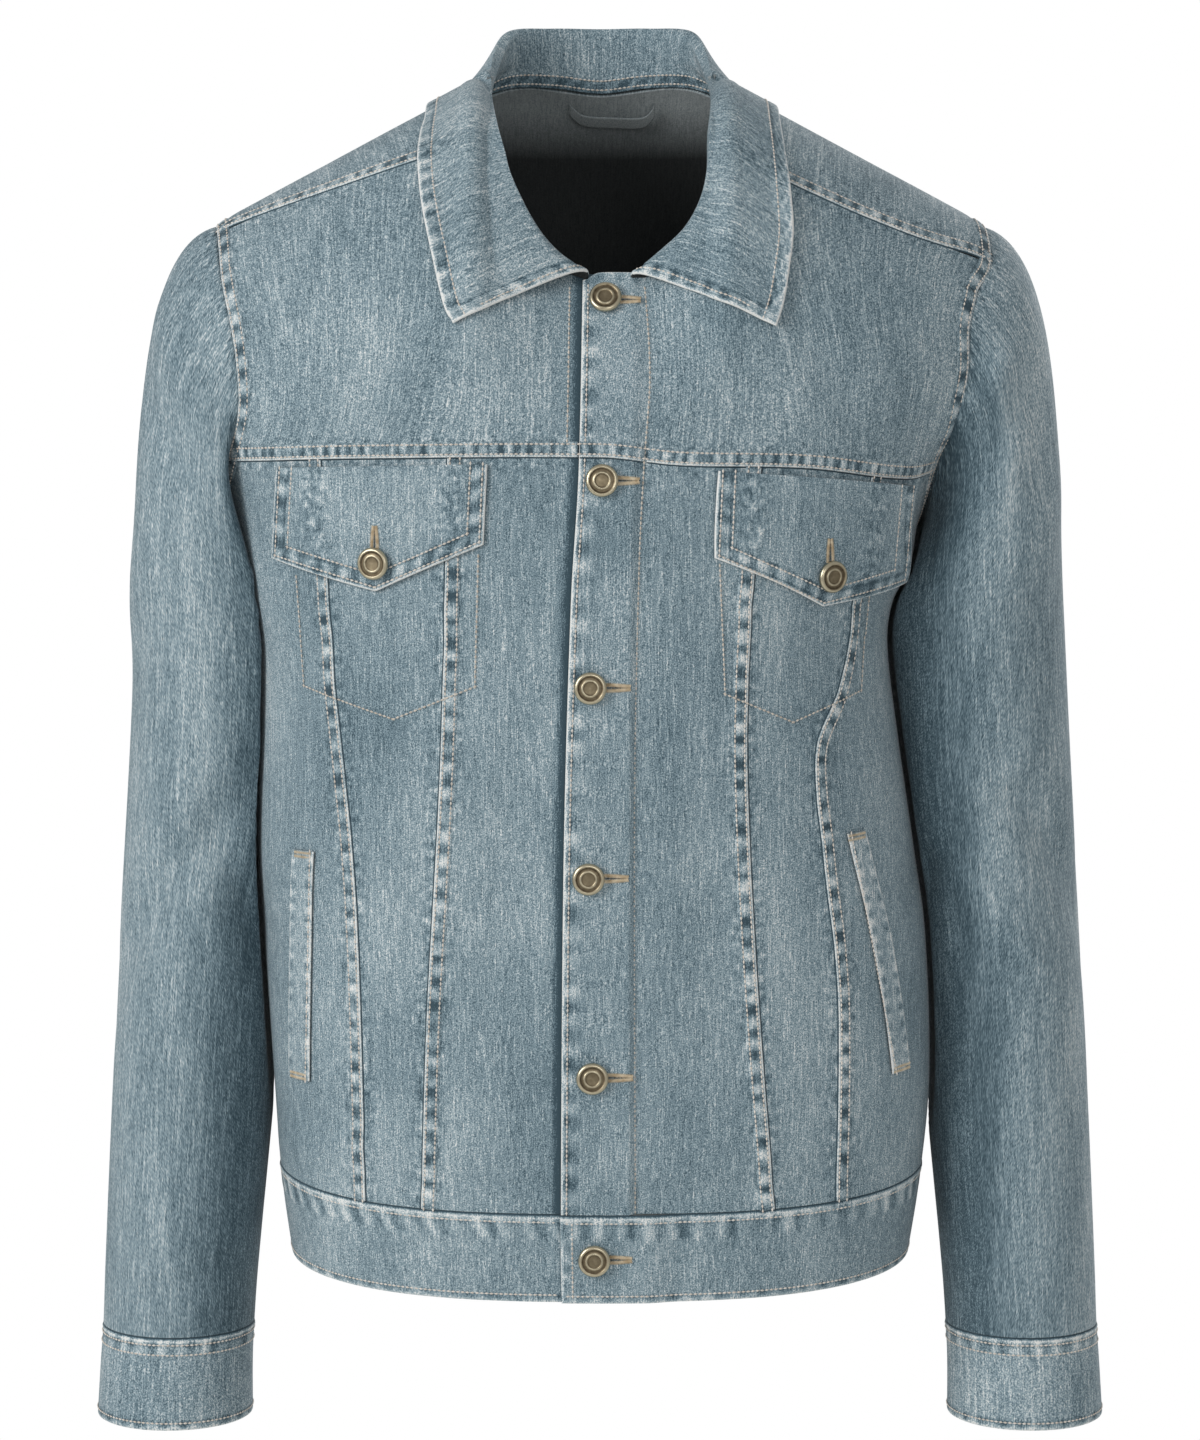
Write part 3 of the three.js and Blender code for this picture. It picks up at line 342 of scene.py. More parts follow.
def around(turn, z):
    """The torso all round, by the turn from the front middle to the left: a superellipse at each z."""
    turn, z = np.broadcast_arrays(np.asarray(turn, float), np.asarray(z, float))
    s, c = np.sin(turn), np.cos(turn)
    reach = (np.abs(s) ** SECTION_POWER + np.abs(c) ** SECTION_POWER) ** (-1 / SECTION_POWER)
    behind = c < 0
    x = half_width(s, z) * reach * s
    return np.stack([x, -depth_at(z, behind) * rounding(x, z, behind) * reach * c, z], -1)


def turn_at(x, z, behind=False):
    """The turn of a place on the torso, given by x and z."""
    a = np.minimum(1, np.abs(x) / half_width(x, z))
    c = (1 - a**SECTION_POWER) ** (1 / SECTION_POWER)
    return np.where(x < 0, -1, 1) * np.arctan2(a, np.where(behind, -c, c))


def tilt_at(x, z, behind=False):
    """The tilt of a place on the shoulder, given by x and z."""
    down = (ridge(x, behind) - z) / np.where(behind, BACK_FALL, FRONT_FALL)
    tilt = np.where(down > 1, math.pi / 2 + down - 1, np.arccos(np.clip(1 - down, -1, 1)))
    return np.where(behind, tilt, -tilt)


def level(rise_of, turn):
    """Height of one of the band's edges, which rises to the sides as sin^4."""
    return BAND[rise_of[0]] + BAND[rise_of[1]] * np.sin(turn) ** 4


def band_seam(turn):
    """Height of the seam above the waistband."""
    return level(("seam", "rise"), turn)


def band_bottom(turn):
    """Height of the waistband's lower edge."""
    return level(("bottom", "bottom_rise"), turn)


# Armholes and sleeves


def armhole(side):
    """The armhole's stations as points: the tip, the front, the underarm and the back."""
    sign = SIDES[side]
    tip = over_shoulder(sign * (ARMHOLE_BACK[-1][0] + 2), 0)
    upper = [around(turn_at(sign * x, z), z) for x, z in ARMHOLE_FRONT[side]]
    lower = [around(sign * math.radians(turn), z) for turn, z in UNDERARM_FRONT[side]]
    under = [around(sign * SIDE_SEAM_TURN, UNDERARM[side])]
    behind = [around(sign * math.radians(turn), z) for turn, z in UNDERARM_BACK]
    top = [around(turn_at(sign * x, z, True), z) for x, z in ARMHOLE_BACK]
    return np.array([tip, *upper, *lower, *under, *behind, *top])


HOLES = {side: armhole(side) for side in SIDES}


def hole_at(side, station):
    """The armhole at any station: Catmull-Rom through its points, round and round."""
    p, n = HOLES[side], STATIONS["count"]
    i = np.floor(station).astype(int)
    t = (station - i)[..., None]
    before, a, b, after = (p[(i + k) % n] for k in (-1, 0, 1, 2))
    cubic = 3 * a - 3 * b + after - before
    return a + 0.5 * t * (b - before + t * (2 * before - 5 * a + 4 * b - after + t * cubic))


def torso_reach(side, y, z):
    """Distance from the middle plane of the torso's side at depth y and height z."""
    share = np.minimum(1, np.abs(y) / depth_at(z, y > 0)) ** SECTION_POWER
    return read(TORSO, z, side) * (1 - share) ** (1 / SECTION_POWER)


def sleeve_fold(side, turn, z):
    """The sum of the sleeve's soft troughs, each a bell across and along."""
    total = 0.0
    for k in np.flatnonzero(SLEEVE_FOLDS["side"] == SIDES[side]):
        fold = {name: column[k] for name, column in SLEEVE_FOLDS.items()}
        bend = turn - fold["turn"]
        along = (z - fold["z"] - fold["slant"] * bend) / fold["along"]
        total = total + fold["depth"] * bell(bend / fold["around"]) * bell(along)
    return total


def sleeve_ring(side, turn, z, clearance=SLEEVE_CLEARANCE):
    """A level ring of the sleeve, an ellipse less its folds: turn 0 is outside, a quarter turn in front."""
    turn, z = np.broadcast_arrays(np.asarray(turn, float), np.asarray(z, float))
    out = read(SLEEVE, z, "out")
    middle = (out + read(SLEEVE, z, "in")) / 2
    fold = sleeve_fold(side, turn, z)
    y = read(SLEEVE, z, "centre") - (read(SLEEVE, z, "depth") - fold) * np.sin(turn)
    x = np.maximum(middle + (out - middle - fold) * np.cos(turn), torso_reach(side, y, z) + clearance)
    return np.stack([SIDES[side] * x, y, z], -1)


def station_turn(station):
    """The sleeve's turn at an armhole station."""
    under = STATIONS["underarm"]
    back = math.pi * (1 + (station - under) / (STATIONS["count"] - under))
    return np.where(station <= under, math.pi * station / under, back)


def sleeve(side):
    """The sleeve by its station, negative on the right, and by v: 0..1 the cap, 1..2 the arm."""
    sign = SIDES[side]

    def surface(station, v):
        station, v = np.broadcast_arrays(np.asarray(station, float), np.asarray(v, float))
        wrapped = np.mod(sign * station, STATIONS["count"])
        turn = station_turn(wrapped)
        start = hole_at(side, wrapped)
        end = sleeve_ring(side, turn, SLEEVE_START)
        drop = (start - end)[..., 2:]
        c = np.cos(turn)[..., None]
        leave = drop * np.concatenate(
            [sign * (CAP["out"] + CAP["out_top"] * c), 0 * c, -(CAP["down"] - CAP["less_top"] * c)], -1
        )
        arrive = (sleeve_ring(side, turn, SLEEVE_START - 1) - end) * CAP["arrive"] * drop
        t = np.clip(v, 0, 1)[..., None]
        cap = mix(start, end, smooth(t)) + leave * t * (1 - t) ** 2 + arrive * t * t * (t - 1)
        aim = np.array([sign * FOLD_CENTRE[0], FOLD_CENTRE[1], 0.0]) - cap * (1, 1, 0)
        cap = cap + unit(aim) * (sleeve_fold(side, turn, cap[..., 2]) * smooth(t[..., 0]))[..., None]
        below = start[..., 2] - cap[..., 2]
        near = np.minimum(SLEEVE_CLEARANCE, CAP["nearest"] + CAP["rise"] * below)
        least = torso_reach(side, cap[..., 1], cap[..., 2]) + near
        held = (below > 1) & (cap[..., 2] < UNDERARM[side] + CAP_CLEARS_ABOVE)
        cap[..., 0] = np.where(held, sign * np.maximum(sign * cap[..., 0], least), cap[..., 0])
        arm = sleeve_ring(side, turn, mix(SLEEVE_START, CUFF["top"], np.clip(v - 1, -0.01, 1.2)))
        aim = np.array([sign * FOLD_CENTRE[0], FOLD_CENTRE[1], 0.0]) - arm * (1, 1, 0)
        fading = sleeve_fold(side, turn, arm[..., 2]) * (1 - smooth((v - 1) / CAP_FADES))
        arm = arm + unit(aim) * fading[..., None]
        return np.where((v < 1)[..., None], cap, arm)

    return surface


def cuff_ring(side):
    """The cuff's own surface: its first parameter is the turn, with its sign set so that it faces out."""
    return lambda a, z: sleeve_ring(side, -SIDES[side] * a, z, CUFF_CLEARANCE)


def cuff_lift(turn):
    """How high the cuff's upper end lies over its lap."""
    share = (turn + CUFF["start"]) / (2 * math.pi + CUFF["lap_turn"])
    return ON_TOP * (1 - smooth((share - CUFF["lap_from"]) / (CUFF["lap_to"] - CUFF["lap_from"])))


# Collar


def neckline():
    """The neckline from the wearer's right front end round the back to the left, as points and directions."""

    def fore(side):
        x, z = np.array([COLLAR_START[side], *FRONT_NECK[side]], float).T
        return points_of(front, SIDES[side] * x, z)

    x, tilt = np.array(BACK_NECK, float).T
    right, behind, left = fore("right"), points_of(over_shoulder, x, np.radians(tilt)), fore("left")
    return [np.concatenate([a, b, c[::-1]]) for a, b, c in zip(right, behind, left)]


def points_of(surface, u, v, lift=0.0):
    """Points of a surface moved out along its normals, the cross products of its two slopes; also these."""
    step = 1e-3
    along = surface(u + step, v) - surface(u - step, v)
    up = surface(u, v + step) - surface(u, v - step)
    normal = unit(np.cross(along, up))
    return surface(u, v) + normal * np.asarray(lift)[..., None], normal


def clear_of_torso(p, height):
    """Moves points out until they clear the torso by a height."""
    behind = p[..., 1] > 0
    fall = np.where(behind, BACK_FALL, FRONT_FALL)
    centre = ridge(p[..., 0], behind) - fall
    tilt = np.arctan2(p[..., 1] / depth_at(p[..., 2], behind), (p[..., 2] - centre) / fall)
    on, normal = points_of(over_shoulder, p[..., 0], tilt)
    over = dot(p - on, normal)
    return p + normal * np.maximum(0, height - over)[..., None]


NECK_POINTS, NECK_NORMALS = neckline()
ROLL_POINTS = np.stack([COLLAR["rx"], COLLAR["ry"], COLLAR["rz"]], -1)
EDGE_POINTS = np.stack([COLLAR["ex"], COLLAR["ey"], COLLAR["ez"]], -1)
towards = unit(ROLL_POINTS - NECK_POINTS)
rise = dot(towards, NECK_NORMALS)
inwards = towards - NECK_NORMALS * rise[:, None]
start_in = unit(inwards) * (0.6 + COLLAR_WALL * np.maximum(0, rise))[:, None]
below_cloth = NECK_NORMALS * CLOTH * np.linalg.norm(inwards, axis=-1, keepdims=True)
COLLAR_STARTS = NECK_POINTS + start_in - below_cloth
LEAF_NORMALS = unit(np.cross(np.gradient(ROLL_POINTS, axis=0), EDGE_POINTS - ROLL_POINTS))
STAND_BACK = table(
    "s back", (0, 0), (0.08, 2), (0.14, 6), (0.2, 7.5), (0.3, 6), (0.37, 5), (0.44, 0), (0.56, 0), (0.63, 5),
    (0.7, 6), (0.76, 8), (0.82, 8), (0.88, 5.5), (0.94, 1), (1, 0)
)
STAND_SHARE = {"from": 0.02, "full": 0.14, "less": 0.3, "to": 0.44}


def collar(s, t):
    """The collar: s runs round the neck, t up from the neckline, over the roll and down, a cubic Bezier."""
    s, t = np.broadcast_arrays(np.asarray(s, float), np.asarray(t, float))
    n, r, e = (through(p, np.clip(s, 0, 1)) for p in (COLLAR_STARTS, ROLL_POINTS, EDGE_POINTS))
    top = r + (r - n) * ROLL["reach"] + (e - r) * ROLL["back"]
    over = r + (r - n) * ROLL["reach"] + (e - r) * ROLL["over"]
    t = t[..., None]
    p = n * (1 - t) ** 3 + 3 * top * t * (1 - t) ** 2 + 3 * over * t * t * (1 - t) + e * t**3
    share = smooth((t - CLEARING[0]) / (CLEARING[1] - CLEARING[0]))
    p = mix(p, clear_of_torso(p, COLLAR_WALL + COLLAR_CLEARANCE), share)
    k = STAND_SHARE
    under = smooth((t - k["from"]) / (k["full"] - k["from"]))
    under = under * (1 - smooth((t - k["less"]) / (k["to"] - k["less"])))
    back_off = read(STAND_BACK, s, "back", "s")[..., None] * under
    return p - unit(through(LEAF_NORMALS, np.clip(s, 0, 1))) * back_off


# Creases: x and z of the middle, the face, the lie in degrees from +X, then sizes
CREASES = table(
    "x z face lie length width depth",
    (-221, -147, -1, -65, 48, 9, 3.2),
    (-236, -172, -1, -60, 40, 9, -2.4),
    (-196, -417, -1, -69, 40, 10, -3.2),
    (-212, -440, -1, -60, 34, 10, 1.6),
    (-228, -640, -1, 18, 34, 8, -1.4),
    (-222, -612, -1, -12, 30, 8, 1.2),
    (202, -155, -1, 51, 36, 9, 3.2),
    (214, -178, -1, 56, 34, 9, -2.4),
    (242, -231, -1, 81, 28, 8, 1.6),
    (193, -396, -1, 47, 38, 11, -3.6),
    (212, -372, -1, 52, 34, 9, 1.8),
    (228, -628, -1, -16, 34, 8, -1.5),
    (-178, -262, -1, -68, 40, 10, 1.6),
    (-168, -330, -1, 84, 60, 12, -1.2),
    (150, -300, -1, 60, 34, 9, 1.6),
    (138, -330, -1, 62, 36, 10, -1.6),
    (-48, -400, -1, 86, 70, 15, -1.3),
    (58, -430, -1, 95, 66, 14, -1.1),
    (-108, -440, -1, 92, 80, 16, 1.0),
    (-150, -560, -1, 12, 40, 8, 1.2),
    (60, -575, -1, 4, 60, 7, -1.2),
    (-60, -572, -1, -6, 50, 7, -1.0),
    (-105, -130, -1, 60, 46, 12, -1.1),
    (115, -135, -1, -58, 46, 12, -1.2),
    (0, -556, 1, 0, 90, 9, -2.0),
    (-60, -540, 1, 8, 60, 9, 1.6),
    (90, -545, 1, -10, 60, 8, -1.5),
    (-135, -270, 1, -58, 60, 12, -2.6),
    (-118, -300, 1, -62, 56, 12, 1.8),
    (138, -262, 1, 56, 60, 12, -2.4),
    (120, -296, 1, 60, 54, 11, 1.7),
    (0, -200, 1, 90, 90, 30, -1.6),
    (-205, -390, 1, 28, 34, 10, -2.4),
    (-210, -360, 1, 34, 32, 9, 1.8),
    (206, -402, 1, -30, 34, 10, -2.4),
    (212, -372, 1, -26, 32, 9, 1.8),
    (-205, -600, 1, -20, 30, 8, -1.4),
    (205, -612, 1, 16, 30, 8, -1.4),
)


def folds_at(p, n):
    """How far the cloth moves out: the sum of depth * bell(across / width) * exp(-(along / length)^4)."""
    total = np.zeros(p.shape[:-1])
    for x, z, face, lie, length, width, depth in zip(*CREASES.values()):
        c, s = math.cos(math.radians(lie)), math.sin(math.radians(lie))
        dx, dz = p[..., 0] - x, p[..., 2] - z
        along, off = dx * c + dz * s, dz * c - dx * s
        total += depth * bell(off / width) * np.exp(-((along / length) ** 4)) * smooth(2 * face * n[..., 1])
    return total


def lumps(s, pitch, seed):
    """Uneven bars along a length: random heights from -1 to 1 about a pitch apart, joined by smooth steps."""
    draw = np.random.default_rng(seed)
    count = int(np.max(s) / pitch) + 4
    places = (np.arange(count) + draw.uniform(-0.3, 0.3, count)) * pitch
    heights = draw.uniform(-1, 1, count) * 0.4 + 0.6 * np.where(np.arange(count) % 2, 1, -1)
    i = np.clip(np.searchsorted(places, s) - 1, 0, count - 2)
    return mix(heights[i], heights[i + 1], smooth((s - places[i]) / (places[i + 1] - places[i])))


# Meshes


def mesh_object(name, points, faces, smooth_faces=True):
    """A mesh object from points in millimetres and lists of corner indices, each list with one face size."""
    mesh = bpy.data.meshes.new(name)
    corners = np.concatenate([f.ravel() for f in faces]).astype(np.int32)
    sizes = np.concatenate([np.full(len(f), f.shape[1]) for f in faces]).astype(np.int32)
    mesh.vertices.add(len(points))
    mesh.vertices.foreach_set("co", (np.asarray(points, float) * MM).ravel())
    mesh.loops.add(len(corners))
    mesh.loops.foreach_set("vertex_index", corners)
    mesh.polygons.add(len(sizes))
    mesh.polygons.foreach_set("loop_start", np.concatenate([[0], np.cumsum(sizes)[:-1]]).astype(np.int32))
    mesh.polygons.foreach_set("loop_total", sizes)
    mesh.polygons.foreach_set("use_smooth", np.full(len(sizes), smooth_faces))
    mesh.update(calc_edges=True)
    piece = bpy.data.objects.new(name, mesh)
    bpy.context.scene.collection.objects.link(piece)
    return piece


def give_grain(piece, places):
    """Gives each vertex its place in the cloth, in metres, with the warp threads along the third number."""
    layer = piece.data.attributes.new("grain", "FLOAT_VECTOR", "POINT")
    layer.data.foreach_set("vector", (places * MM).astype(np.float32).ravel())


def give_value(piece, name, values):
    """Gives the mesh a number at each vertex, for its material to read."""
    layer = piece.data.attributes.new(name, "FLOAT", "POINT")
    layer.data.foreach_set("value", np.asarray(values, np.float32).ravel())


def grid_quads(columns, rows, first=0):
    """Corners of the faces of a grid whose points run down each column in turn."""
    i, j = np.meshgrid(np.arange(columns - 1), np.arange(rows - 1), indexing="ij")
    a = (i * rows + j + first).ravel()
    return np.stack([a, a + rows, a + rows + 1, a + 1], -1)


def normals_of(p):
    """Outward directions of a grid: the cross product of its two slopes, with x across and y up."""
    return unit(np.cross(np.gradient(p, axis=0), np.gradient(p, axis=1)))


def lengths_along(p, axis):
    """Distance along each line of a grid from its start."""
    step = np.linalg.norm(np.diff(p, axis=axis), axis=-1)
    pad = [(0, 0), (0, 0)]
    pad[axis] = (1, 0)
    return np.cumsum(np.pad(step, pad), axis=axis)


def from_border(p):
    """Distance of each point of a grid from its four borders, as left, right, bottom and top."""
    u, v = lengths_along(p, 0), lengths_along(p, 1)
    return u, u[-1:] - u, v, v[:, -1:] - v


LAID_DEPTH = 0.3


def laid(p, row=None):
    """Places in a piece laid flat: x along a middle row, and height as the length up each column."""
    row = p.shape[1] // 2 if row is None else row
    across_it = lengths_along(p, 0)[:, row:row + 1] + p[:1, row:row + 1, 0]
    up = lengths_along(p, 1) + p[:, :1, 2]
    return np.stack([np.broadcast_to(across_it, up.shape), np.full(up.shape, LAID_DEPTH), up], -1)


def edge_bars(p, edges, first, last, pitch, seed):
    """Bars across some borders of a grid, where shrinking drew the cloth up between two distances."""
    left, right, bottom, top = from_border(p)
    total, near = np.zeros(left.shape), np.full(left.shape, np.inf)
    borders = zip("lrbt", (left, right, bottom, top), (bottom, bottom, left, left))
    for k, (key, distance, along) in enumerate(borders):
        if key in edges:
            share = smooth((distance - first) / 0.8 + 0.5) * (1 - smooth((distance - last) / 2.5 + 0.3))
            bars = lumps(along.ravel(), pitch, seed + k).reshape(along.shape)
            total = np.where(distance < near, bars * share, total)
            near = np.minimum(near, distance)
    return total


EDGE_LINES = (0.0, 0.35, 0.9, 1.8)
RIM = 0.25
PALE_EDGE, PALE_REACH = 0.9, 1.2


def shares(length, cell):
    """Places 0..1 along a length in millimetres, a cell apart, with closer ones by both ends."""
    count = max(2, int(round(length / cell)))
    inner = np.linspace(0, 1, count + 1)[1:-1]
    ends = np.array([e / length for e in EDGE_LINES])
    inner = inner[(inner > ends[-1] * 1.5) & (inner < 1 - ends[-1] * 1.5)]
    return np.concatenate([ends, inner, 1 - ends[::-1]])


def cloth(name, p, thickness, rounded="", relief=0.0, wear=0.0, grain=None):
    """A wall of cloth from the grid of its outer points: two layers, either side of the middle.

    Near a rounded border the half thickness is a quarter circle, h = t/2 * sqrt(1 - (1 - d/r)^2). The relief
    moves both layers out. The number after it makes the cloth paler above 0 and darker below 0: the wash's
    fading, and in places painted shade and painted shadow.
    """
    n = normals_of(p)
    left, right, bottom, top = from_border(p)
    reach = thickness / 2
    near = np.full(left.shape, np.inf)
    for key, distance in zip("lrbt", (left, right, bottom, top)):
        if key in rounded:
            near = np.minimum(near, distance)
    share = 1 - np.clip(near / reach, 0, 1)
    half = np.maximum(RIM / 2, reach * np.sqrt(1 - share * share))
    middle = p + n * (folds_at(p, n) + relief - reach)[..., None]
    columns, rows = p.shape[:2]
    count = columns * rows
    layers = [(middle + n * (sign * half)[..., None]).reshape(-1, 3) for sign in (1, -1)]
    i, j = np.arange(columns), np.arange(rows)
    borders = [i * rows, (i * rows + rows - 1)[::-1], j[::-1], (columns - 1) * rows + j]
    rims = [np.stack([b[1:], b[:-1], b[:-1] + count, b[1:] + count], -1) for b in borders]
    quads = grid_quads(columns, rows)
    piece = mesh_object(name, np.concatenate(layers), [quads, quads[:, ::-1] + count, *rims])
    give_grain(piece, np.tile((p if grain is None else grain).reshape(-1, 3), (2, 1)))
    give_value(piece, "inside", np.repeat([0, 1], count))
    pale = np.broadcast_to(wear, near.shape) + PALE_EDGE * bell(np.minimum(near, 99) / PALE_REACH)
    give_value(piece, "wear", np.tile(pale.ravel(), 2))
    give_value(piece, "seam", np.tile(near_seam(p).ravel(), 2))
    piece.data.materials.append(MATERIALS["denim"])
    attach(piece, "root")
    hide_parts(name)
    PIECES[name] = piece
    return piece


PIECES = {}


def coons(bottom, top, left, right, f, t):
    """A grid between four border lines, a Coons patch: ruled one way, plus the other, less the corners."""
    b, u = through(bottom, f)[:, None], through(top, f)[:, None]
    l, r = through(left, t)[None], through(right, t)[None]
    f, t = f[:, None, None], t[None, :, None]
    corners = mix(mix(b[:1], b[-1:], f), mix(u[:1], u[-1:], f), t)
    return mix(b, u, t) + mix(l, r, f) - corners


def patch(surface, bottom, top, left, right, cell, lift=0.0):
    """Lays a Coons patch of parameters on a surface, with lines a cell apart, and returns its points."""
    size = [np.linalg.norm(np.diff(surface(*through(line, np.linspace(0, 1, 40)).T), axis=0), axis=-1).sum()
            for line in (bottom, top, left, right)]
    f, t = shares(max(size[:2]), cell), shares(max(size[2:]), cell)
    grid = coons(bottom, top, left, right, f, t)
    return points_of(surface, grid[..., 0], grid[..., 1], lift)[0]


# Materials

DENIM_TONE = 0.45
# Painted shade inside the body: the share of the inner face's colour kept from the hem, at 0, to the neck, at
# 1, darkest between
HOLLOW_LIGHT = [(0.0, 0.5), (0.12, 0.1), (0.945, 0.1), (0.985, 1.0)]


def linear(code):
    """A colour from its sRGB hex value."""
    parts = [int(code[k:k + 2], 16) / 255 for k in (1, 3, 5)]
    return (*[c / 12.92 if c <= 0.04045 else ((c + 0.055) / 1.055) ** 2.4 for c in parts], 1.0)


def new_material(name):
    """A named material, with its tree and its shader."""
    material = bpy.data.materials.new(name)
    material.use_nodes = True
    tree = material.node_tree
    return material, tree, tree.nodes["Principled BSDF"]


def add_node(tree, kind, settings=None, **links):
    """Adds a node with its settings, and fills its inputs by name, or by number as in _0.

    An input takes a value or another node's output. The stops of a colour ramp are pairs of place and colour.
    """
    node = tree.nodes.new(kind)
    settings = dict(settings or {})
    stops = settings.pop("stops", [])
    while stops and len(node.color_ramp.elements) < len(stops):
        node.color_ramp.elements.new(0.5)
    for k, (place, colour) in enumerate(stops):
        node.color_ramp.elements[k].position = place
        node.color_ramp.elements[k].color = colour
    for key, value in settings.items():
        setattr(node, key, value)
    for key, value in links.items():
        socket = node.inputs[int(key[1:])] if key[0] == "_" else node.inputs[key]
        if isinstance(value, bpy.types.NodeSocket):
            tree.links.new(value, socket)
        else:
            socket.default_value = value
    return node


def add_up(tree, start, *pairs):
    """A start plus each value times its weight, either of which may be another node's output."""
    for value, weight in pairs:
        node = add_node(tree, "ShaderNodeMath", {"operation": "MULTIPLY_ADD"}, _0=value, _1=weight, _2=start)
        start = node.outputs[0]
    return start


def grain_noise(tree, grain, size, detail=1.0):
    """Noise whose grains have a size in millimetres: across x, across y, and along the warp threads."""
    scale = tuple(1000 / s for s in size)
    mapped = add_node(tree, "ShaderNodeMapping", None, Vector=grain, Scale=scale)
    noise = add_node(tree, "ShaderNodeTexNoise", None, Vector=mapped.outputs[0], Scale=1.0, Detail=detail,
                     Roughness=0.55)
    return noise.outputs["Fac"]


def denim():
    """Washed stretch denim, a blue warp over a grey weft: speckled, with pale slubs, and blotched pale and
    dark by its seams, the dark partly painted shade of the puckers' hollows.

    The speckle is drawn at 0.6 mm, a little coarser than the 0.5 mm threads, so that it shows. The back of the
    cloth is paler and greyer. Inside the body its colour is darkened by height: painted shade, as deep as the
    hollow looks.
    """
    material, tree, shader = new_material("washed_stretch_denim")
    layers = {
        name: add_node(tree, "ShaderNodeAttribute", {"attribute_name": name})
        for name in ("grain", "seam", "wear", "inside")
    }
    grain = layers["grain"].outputs["Vector"]
    seam, wear, inside = (layers[name].outputs["Fac"] for name in ("seam", "wear", "inside"))
    speckle = grain_noise(tree, grain, (0.52, 0.52, 0.66), 0.5)
    slub = grain_noise(tree, grain, (0.6, 0.6, 7))
    thick = grain_noise(tree, grain, (0.7, 0.7, 26), 0.0)
    broad = grain_noise(tree, grain, (7, 7, 90))
    mottle = grain_noise(tree, grain, (60, 60, 90))
    lumpy = grain_noise(tree, grain, (4, 4, 4))
    thickest = {"From Min": 0.57, "From Max": 0.67}
    pale_slub = add_node(tree, "ShaderNodeMapRange", None, Value=thick, **thickest).outputs[0]
    # Blotches beside the seams: the puckers' wash marks, with painted shade where their bump is low
    pucker_wash_and_shade = add_up(tree, -0.65, (lumpy, 1.2))
    weave = ((speckle, 1.3), (slub, 0.55), (broad, 0.16), (mottle, 0.45))
    middle = DENIM_TONE - sum(weight for _, weight in weave) / 2
    # The cloth's own paling and darkening per vertex carries the wash's fading together with painted shade and
    # painted shadow
    tone = add_up(tree, middle, (pale_slub, 0.15), *weave, (pucker_wash_and_shade, seam), (wear, 0.42))
    blues = [(0.02, "#3a4e58"), (0.3, "#667b85"), (0.52, "#8397a0"), (0.76, "#b3c1c6"), (1.0, "#e4e5e2")]
    blues = [(place, linear(code)) for place, code in blues]
    face = add_node(tree, "ShaderNodeValToRGB", {"stops": blues}, Fac=tone).outputs["Color"]
    greys = [(0.2, linear("#6f7a7c")), (0.7, linear("#b4babb"))]
    inner_tone = add_up(tree, 0.0, (speckle, 0.5), (slub, 0.4))
    back_face = add_node(tree, "ShaderNodeValToRGB", {"stops": greys}, Fac=inner_tone).outputs["Color"]
    # Painted shade: the inner face's colour is darkened by height inside the body
    place = add_node(tree, "ShaderNodeTexCoord").outputs["Object"]
    height = add_node(tree, "ShaderNodeSeparateXYZ", None, Vector=place).outputs["Z"]
    inner_heights = {"From Min": -0.64, "From Max": 0.01}
    level_up = add_node(tree, "ShaderNodeMapRange", None, Value=height, **inner_heights).outputs[0]
    depths = [(place, (light, light, light, 1)) for place, light in HOLLOW_LIGHT]
    shade = add_node(tree, "ShaderNodeValToRGB", {"stops": depths}, Fac=level_up).outputs["Color"]
    darken = {"data_type": "RGBA", "blend_type": "MULTIPLY"}
    back_face = add_node(tree, "ShaderNodeMix", darken, _0=1.0, _6=back_face, _7=shade).outputs[2]
    colour = add_node(tree, "ShaderNodeMix", {"data_type": "RGBA"}, _0=inside, _6=face, _7=back_face)
    tree.links.new(colour.outputs[2], shader.inputs["Base Color"])
    shader.inputs["Roughness"].default_value = 0.88
    shader.inputs["Specular IOR Level"].default_value = 0.25
    shader.inputs["Sheen Weight"].default_value = 0.12
    shader.inputs["Sheen Roughness"].default_value = 0.45
    puckers = add_up(tree, 0.0, (seam, 3.0))
    relief = add_up(tree, 0.0, (slub, 0.5), (speckle, 0.6), (lumpy, puckers))
    bump = add_node(tree, "ShaderNodeBump", None, Height=relief, Strength=0.5, Distance=0.0005)
    tree.links.new(bump.outputs[0], shader.inputs["Normal"])
    return material


def thread(name, pale, dark):
    """Polyester topstitching thread, twisted: matt, with a soft shine, a little uneven in tone."""
    material, tree, shader = new_material(name)
    place = add_node(tree, "ShaderNodeTexCoord").outputs["Object"]
    tone = add_node(tree, "ShaderNodeTexNoise", None, Vector=place, Scale=300.0, Detail=1.0).outputs["Fac"]
    stops = [(0.3, linear(dark)), (0.7, linear(pale))]
    colour = add_node(tree, "ShaderNodeValToRGB", {"stops": stops}, Fac=tone).outputs["Color"]
    tree.links.new(colour, shader.inputs["Base Color"])
    shader.inputs["Roughness"].default_value = 0.6
    return material


